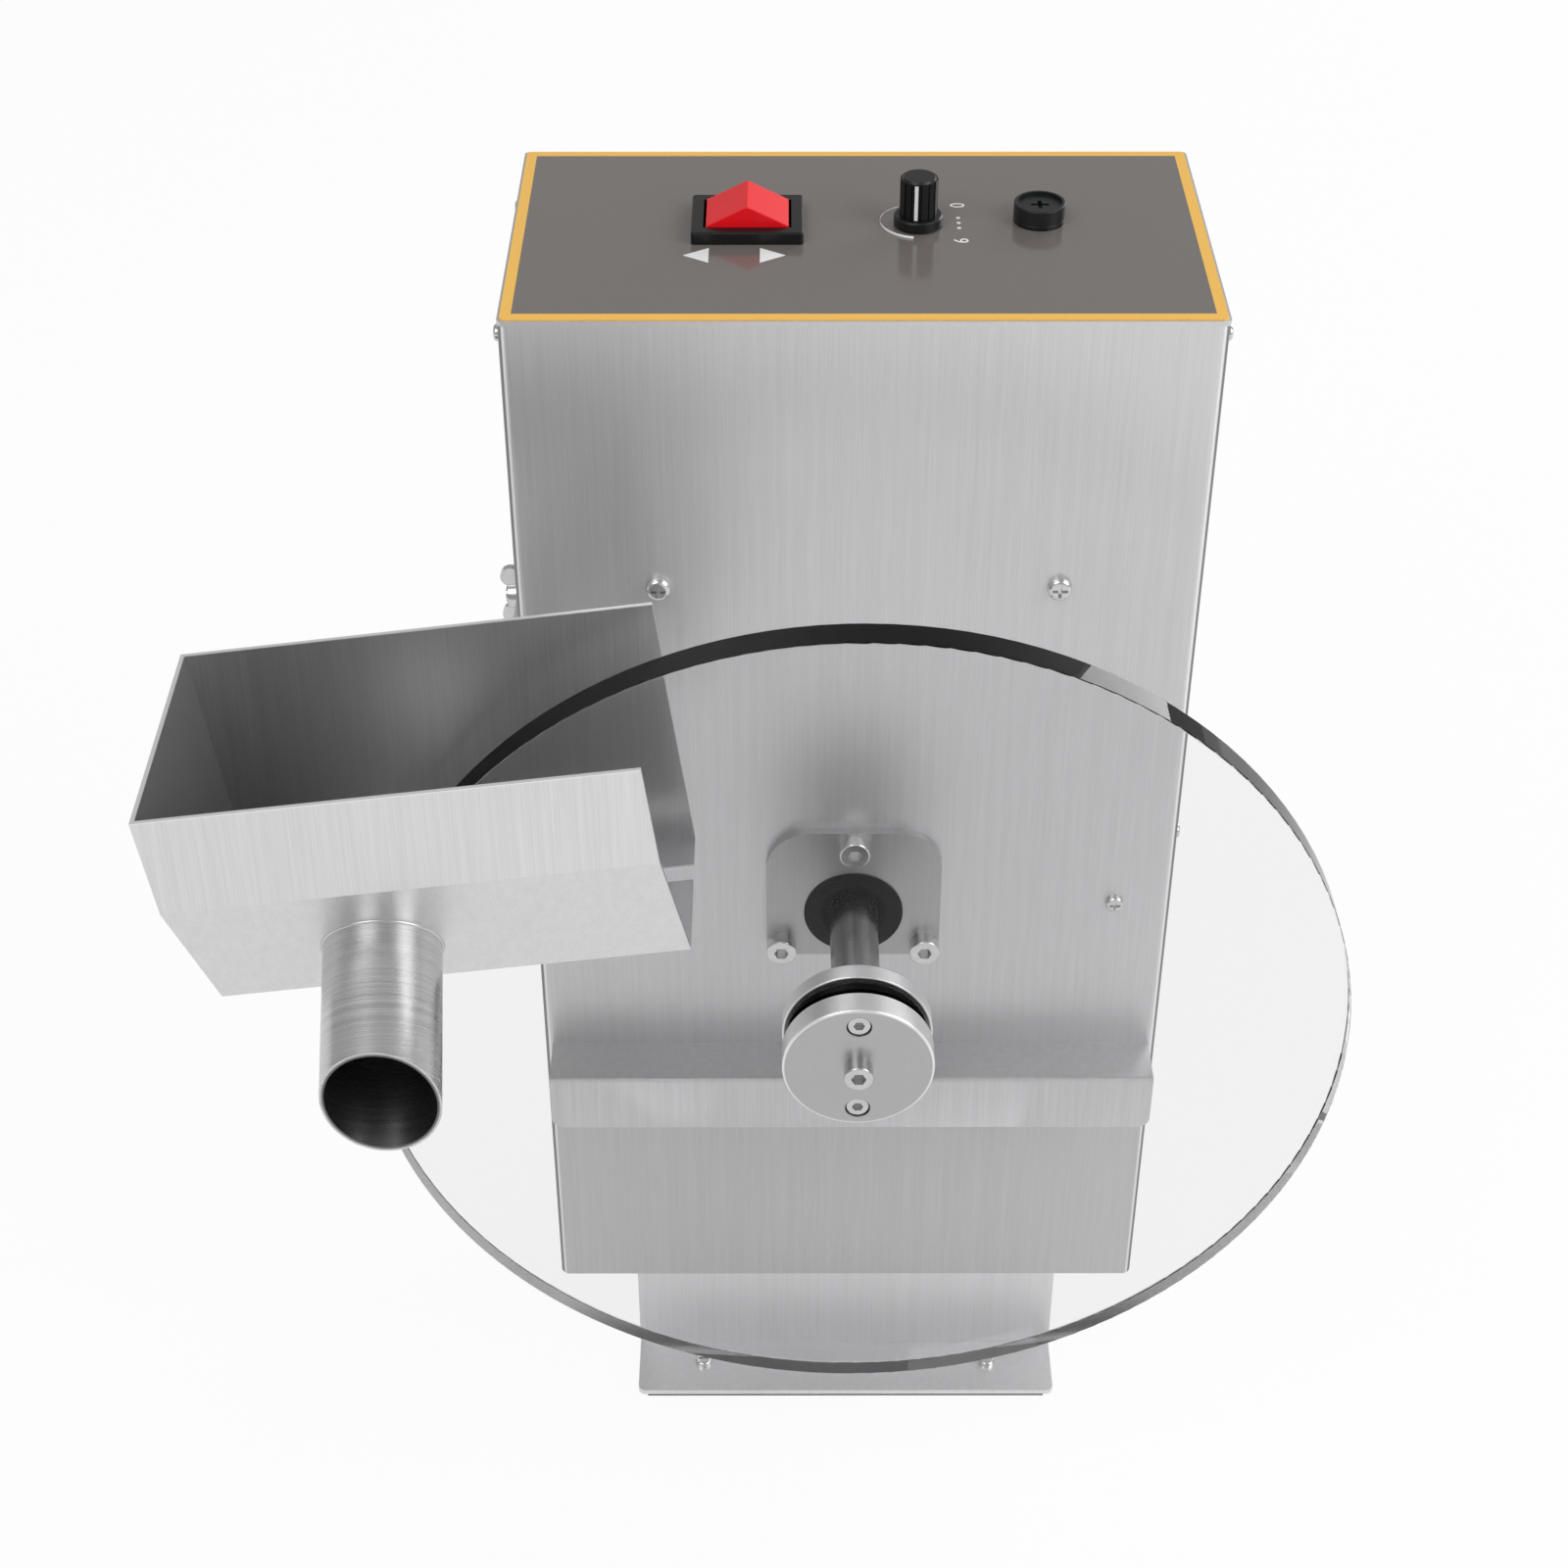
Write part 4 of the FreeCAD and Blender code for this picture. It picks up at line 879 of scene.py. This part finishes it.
@dataclass
class Controls:
    """Switch, speed knob, fuse holder, inlet and the marks printed round them."""

    ink: bpy.types.Material = field(init=False)
    face: float = field(init=False)
    thick: float = 0.00006
    arrow_front: float = 6.6
    arrow_inner: float = 7.25
    arrow_tip: float = 14.5
    arrow_half: float = 4.6
    arc_radius: float = 11.2
    arc_start: float = -100.0
    arc_sweep: float = -140.0
    arc_width: float = 1.35
    digit_height: float = 4.4
    switch_offset: float = 3.6
    dot_count: int = 3
    dot_pitch: float = 3.3
    dot_radius: float = 0.6

    def __post_init__(self) -> None:
        """Read the overlay's upper face."""
        self.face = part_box("control_overlay")[1][2]
        self.ink = Moulding("white_mark", (0.9, 0.9, 0.9, 1.0), 0.4).build()

    def dress(self) -> None:
        """Finish the control parts."""
        dress(OverlayPrint().build(), "control_overlay")
        black = Moulding("black_moulding", (0.008, 0.008, 0.009, 1.0), 0.34, shine=0.35).build()
        dress(black, "switch_body", "speed_pot", "speed_knob", "fuse_holder", "power_inlet",
              "capacitor")
        dress(Moulding("fuse_cap_black", (0.012, 0.013, 0.013, 1.0), 0.4, shine=0.35).build(),
              "fuse_cap")
        dress(Moulding("red_rocker", (0.9, 0.006, 0.014, 1.0), 0.3, shine=0.3).build(), "rocker")
        dress(self.ink, "knob_pointer")
        dress(Moulding("fuse_glass", (0.7, 0.75, 0.75, 1.0), 0.1).build(), "fuse")
        dress(Casting("brass_pins", (0.75, 0.58, 0.28, 1.0), 0.25).build(), "inlet_pins")

    def arrows(self) -> None:
        """Two arrowheads in front of the switch."""
        low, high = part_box("switch_body")
        mid = (low[0] + high[0]) / 2 - self.switch_offset * MM
        front = low[1] - self.arrow_front * MM
        for name, way in (("arrow_left", -1), ("arrow_right", 1)):
            inner, tip = mid + way * self.arrow_inner * MM, mid + way * self.arrow_tip * MM
            outline = [(tip, front), (inner, front + self.arrow_half * MM),
                       (inner, front - self.arrow_half * MM)]
            mesh_piece(name, lambda shape: slab(shape, outline, self.face, self.face + self.thick),
                       self.ink, "base")

    def dial(self) -> None:
        """Tapered arc that follows a circle beside the speed knob."""
        low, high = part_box("speed_knob")
        centre = ((low[0] + high[0]) / 2 + 0.0003, (low[1] + high[1]) / 2 + 0.0018,
                  self.face + self.thick / 2)
        g = Grower("dial_arc", radius=self.arc_radius * MM, start=math.radians(self.arc_start),
                   sweep=math.radians(self.arc_sweep), width=self.arc_width * MM,
                   thick=self.thick, centre=centre)
        arc = g.add("GeometryNodeCurveArc", {"mode": "RADIUS"},
                    {"Resolution": 48, "Radius": g.size("radius"), "Start Angle": g.size("start"),
                     "Sweep Angle": g.size("sweep")})
        share = g.add("GeometryNodeSplineParameter", {}, {}, "Factor")
        taper = g.add("ShaderNodeMapRange", {"clamp": True},
                      {"Value": share, "From Min": 0.35, "From Max": 1.0, "To Min": 1.0,
                       "To Max": 0.2})
        ribbon = g.add("GeometryNodeSetCurveRadius", {}, {"Curve": arc, "Radius": taper})
        profile = g.add("GeometryNodeCurvePrimitiveQuadrilateral", {"mode": "RECTANGLE"},
                        {"Width": g.size("thick"), "Height": g.size("width")})
        band = g.add("GeometryNodeCurveToMesh", {}, {"Curve": ribbon, "Profile Curve": profile,
                                                     "Scale": taper, "Fill Caps": True})
        moved = g.add("GeometryNodeTransform", {}, {"Geometry": band,
                                                    "Translation": g.size("centre")})
        g.grow(moved, self.ink, "base", "white_plastic")

    def dots(self) -> None:
        """Three dots between the dial's end numbers."""
        low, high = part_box("speed_knob")
        g = Grower("dial_dots", count=self.dot_count, pitch=(0.0, -self.dot_pitch * MM, 0.0),
                   radius=self.dot_radius * MM, thick=self.thick,
                   start=(high[0] + 0.0047, (low[1] + high[1]) / 2 + 0.0042,
                          self.face + self.thick / 2))
        row = g.add("GeometryNodeMeshLine", {"mode": "OFFSET"},
                    {"Count": g.size("count"), "Start Location": g.size("start"),
                     "Offset": g.size("pitch")})
        dot = g.add("GeometryNodeMeshCylinder", {},
                    {"Vertices": 20, "Radius": g.size("radius"), "Depth": g.size("thick")})
        dots = g.add("GeometryNodeInstanceOnPoints", {}, {"Points": row, "Instance": dot})
        g.grow(dots, self.ink, "base", "white_plastic")

    def number(self, name: str, digit: str, x: float, y: float) -> None:
        """A plain dial number that reads from back to front.

        Args:
            name: Piece name.
            digit: What it shows.
            x: Its centre across, in metres.
            y: Its centre in depth, in metres.
        """
        curve = bpy.data.curves.new(name, "FONT")
        curve.body = digit
        curve.size = self.digit_height * 1.4 * MM
        curve.align_x, curve.align_y = "CENTER", "CENTER"
        curve.extrude = self.thick / 2
        curve.resolution_u = 4
        writer = bpy.data.objects.new(name + "_writer", curve)
        bpy.context.scene.collection.objects.link(writer)
        graph = bpy.context.evaluated_depsgraph_get()
        data = bpy.data.meshes.new_from_object(writer.evaluated_get(graph))
        bpy.data.objects.remove(writer)
        data.transform(Matrix.Translation((x, y, self.face + self.thick / 2))
                       @ Matrix.Rotation(math.radians(-90), 4, "Z"))
        data.name = name
        data.materials.clear()
        data.materials.append(self.ink)
        settle(data, name, "base")

    def numbers(self) -> None:
        """The dial's end numbers, beside the knob."""
        low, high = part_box("speed_knob")
        mid = (low[1] + high[1]) / 2
        self.number("dial_low", "0", high[0] + 0.0046, mid + 0.0125)
        self.number("dial_high", "9", high[0] + 0.0046, mid - 0.0105)


@dataclass
class Wheel:
    """Clear wheel, its clamp, seals and shaft."""

    def dress(self) -> None:
        """Finish the turning parts."""
        low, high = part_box("front_clamp")
        centre = tuple((low[i] + high[i]) / 2 for i in range(3))
        radius = (high[0] - low[0]) / 2
        dress(ClearAcrylic().build(), "wheel_disc")
        dress(FacedSteel("faced_clamp", centre, radius).build(), "front_clamp", "rear_collar")
        dress(TurnedSteel("ground_shaft", 0.3, 0.26).build(), "drive_shaft", "pot_spindle",
              "shaft_key", "worm_shaft")
        dress(ScrewSteel("wheel_screws", 0.66, 0.2).build(), "centre_bolt", "clamp_screws")
        dress(Moulding("gasket_rubber", (0.008, 0.008, 0.008, 1.0), 0.55, 900.0, 0.2, 0.3).build(),
              "gaskets")


@dataclass
class Hopper:
    """Scraper hopper, its spout and the arm with its wing nut."""

    trough: Trough = field(default_factory=Trough)
    bead: float = 0.6

    def dress(self) -> None:
        """Finish the hopper's parts."""
        dress(HopperSteel("brushed_hopper", Grain.UPRIGHT, (0, 7.5, 0), 0.8, 0.68, 0.36,
                          trough=self.trough).build(), "hopper")
        dress(SpoutSteel(self.trough).build(), "spout")
        dress(ScrewSteel("arm_fixings", 0.7, 0.22).build(), "arm_rivets", "wing_stud", "wing_nut")

    def weld(self) -> None:
        """Weld bead that follows the spout's root."""
        root, axis = self.trough.spout_root, self.trough.spout_axis
        turn = axis.to_track_quat("Z", "Y").to_euler()
        g = Grower("spout_weld", radius=self.trough.spout_radius * MM, bead=self.bead * MM,
                   place=tuple(root), turn=tuple(turn))
        path = g.add("GeometryNodeCurvePrimitiveCircle", {"mode": "RADIUS"},
                     {"Resolution": 96, "Radius": g.size("radius")})
        profile = g.add("GeometryNodeCurvePrimitiveCircle", {"mode": "RADIUS"},
                        {"Resolution": 10, "Radius": g.size("bead")})
        ring = g.add("GeometryNodeCurveToMesh", {}, {"Curve": path, "Profile Curve": profile})
        moved = g.add("GeometryNodeTransform", {}, {"Geometry": ring,
                                                    "Translation": g.size("place"),
                                                    "Rotation": g.size("turn")})
        g.grow(moved, TurnedSteel("weld_bead", 0.62, 0.3, 500.0).build(), "hopper", "bright_steel")


@dataclass(frozen=True)
class Lamp:
    """One round area lamp."""

    name: str
    at: tuple[float, float, float]
    size: float
    power: float


@dataclass
class Studio:
    """Floor, lamps, sky and camera."""

    lens: float = 62.95
    camera_at: tuple[float, float, float] = (-0.02237, -0.66783, 0.76165)
    pitch: float = 37.275
    yaw: float = -0.052
    soft: float = 0.55
    floor_reach: float = 6.0
    aim_at: tuple[float, float, float] = (0.0, 0.0, 0.22)
    lamps: tuple[Lamp, ...] = (
        Lamp("key", (-1.0, -1.3, 2.1), 1.6, 18.0),
        Lamp("fill", (1.7, -0.9, 1.5), 1.6, 24.0),
        Lamp("back", (1.9, 2.2, 1.3), 1.6, 30.0),
    )

    def build(self) -> None:
        """Make the whole stage."""
        self.ground()
        self.sky()
        self.light()
        self.camera()

    def ground(self) -> None:
        """A wide pale floor."""
        shape = bmesh.new()
        size = self.floor_reach
        corners = [shape.verts.new(p) for p in ((-size, -size, 0), (size, -size, 0),
                                                 (size, size, 0), (-size, size, 0))]
        shape.faces.new(corners)
        data = bpy.data.meshes.new("ground")
        shape.to_mesh(data)
        shape.free()
        data.materials.append(Floor().build())
        floor = bpy.data.objects.new("ground", data)
        bpy.context.scene.collection.objects.link(floor)

    def sky(self) -> None:
        """White surroundings, dimmer for what they light."""
        world = bpy.data.worlds.new("sky")
        bpy.context.scene.world = world
        world.use_nodes = True
        nodes, links = world.node_tree.nodes, world.node_tree.links
        nodes.clear()
        out = nodes.new("ShaderNodeOutputWorld")
        path = nodes.new("ShaderNodeLightPath")
        soft = nodes.new("ShaderNodeBackground")
        soft.inputs["Strength"].default_value = self.soft
        white = nodes.new("ShaderNodeBackground")
        white.inputs["Strength"].default_value = 1.0
        either = nodes.new("ShaderNodeMath")
        either.operation = "MAXIMUM"
        links.new(path.outputs["Is Camera Ray"], either.inputs[0])
        links.new(path.outputs["Is Transmission Ray"], either.inputs[1])
        mix = nodes.new("ShaderNodeMixShader")
        links.new(either.outputs[0], mix.inputs[0])
        links.new(soft.outputs[0], mix.inputs[1])
        links.new(white.outputs[0], mix.inputs[2])
        links.new(mix.outputs[0], out.inputs["Surface"])

    def light(self) -> None:
        """Soft area lamps aimed at the machine."""
        for each in self.lamps:
            data = bpy.data.lights.new(each.name, "AREA")
            data.shape = "DISK"
            data.size = each.size
            data.energy = each.power
            lamp = bpy.data.objects.new(each.name, data)
            lamp.location = each.at
            aim = Vector(self.aim_at) - Vector(each.at)
            lamp.rotation_euler = aim.to_track_quat("-Z", "Y").to_euler()
            bpy.context.scene.collection.objects.link(lamp)

    def camera(self) -> None:
        """The main view."""
        data = bpy.data.cameras.new("main_camera")
        data.lens = self.lens
        data.sensor_width = 36.0
        data.clip_end = 50.0
        camera = bpy.data.objects.new("main_camera", data)
        camera.location = self.camera_at
        camera.rotation_euler = (math.radians(90 - self.pitch), 0.0,
                                 math.radians(self.yaw))
        bpy.context.scene.collection.objects.link(camera)
        bpy.context.scene.camera = camera


def main() -> None:
    """Build the looks in order."""
    logging.basicConfig(level=logging.INFO)
    bpy.context.scene.view_settings.view_transform = "Standard"
    housing, controls, wheel, hopper = Housing(), Controls(), Wheel(), Hopper()
    for part in (housing, controls, wheel, hopper):
        part.dress()
    housing.solder()
    controls.arrows()
    controls.dial()
    controls.dots()
    controls.numbers()
    hopper.weld()
    Studio().build()


if __name__ == "__main__":
    main()
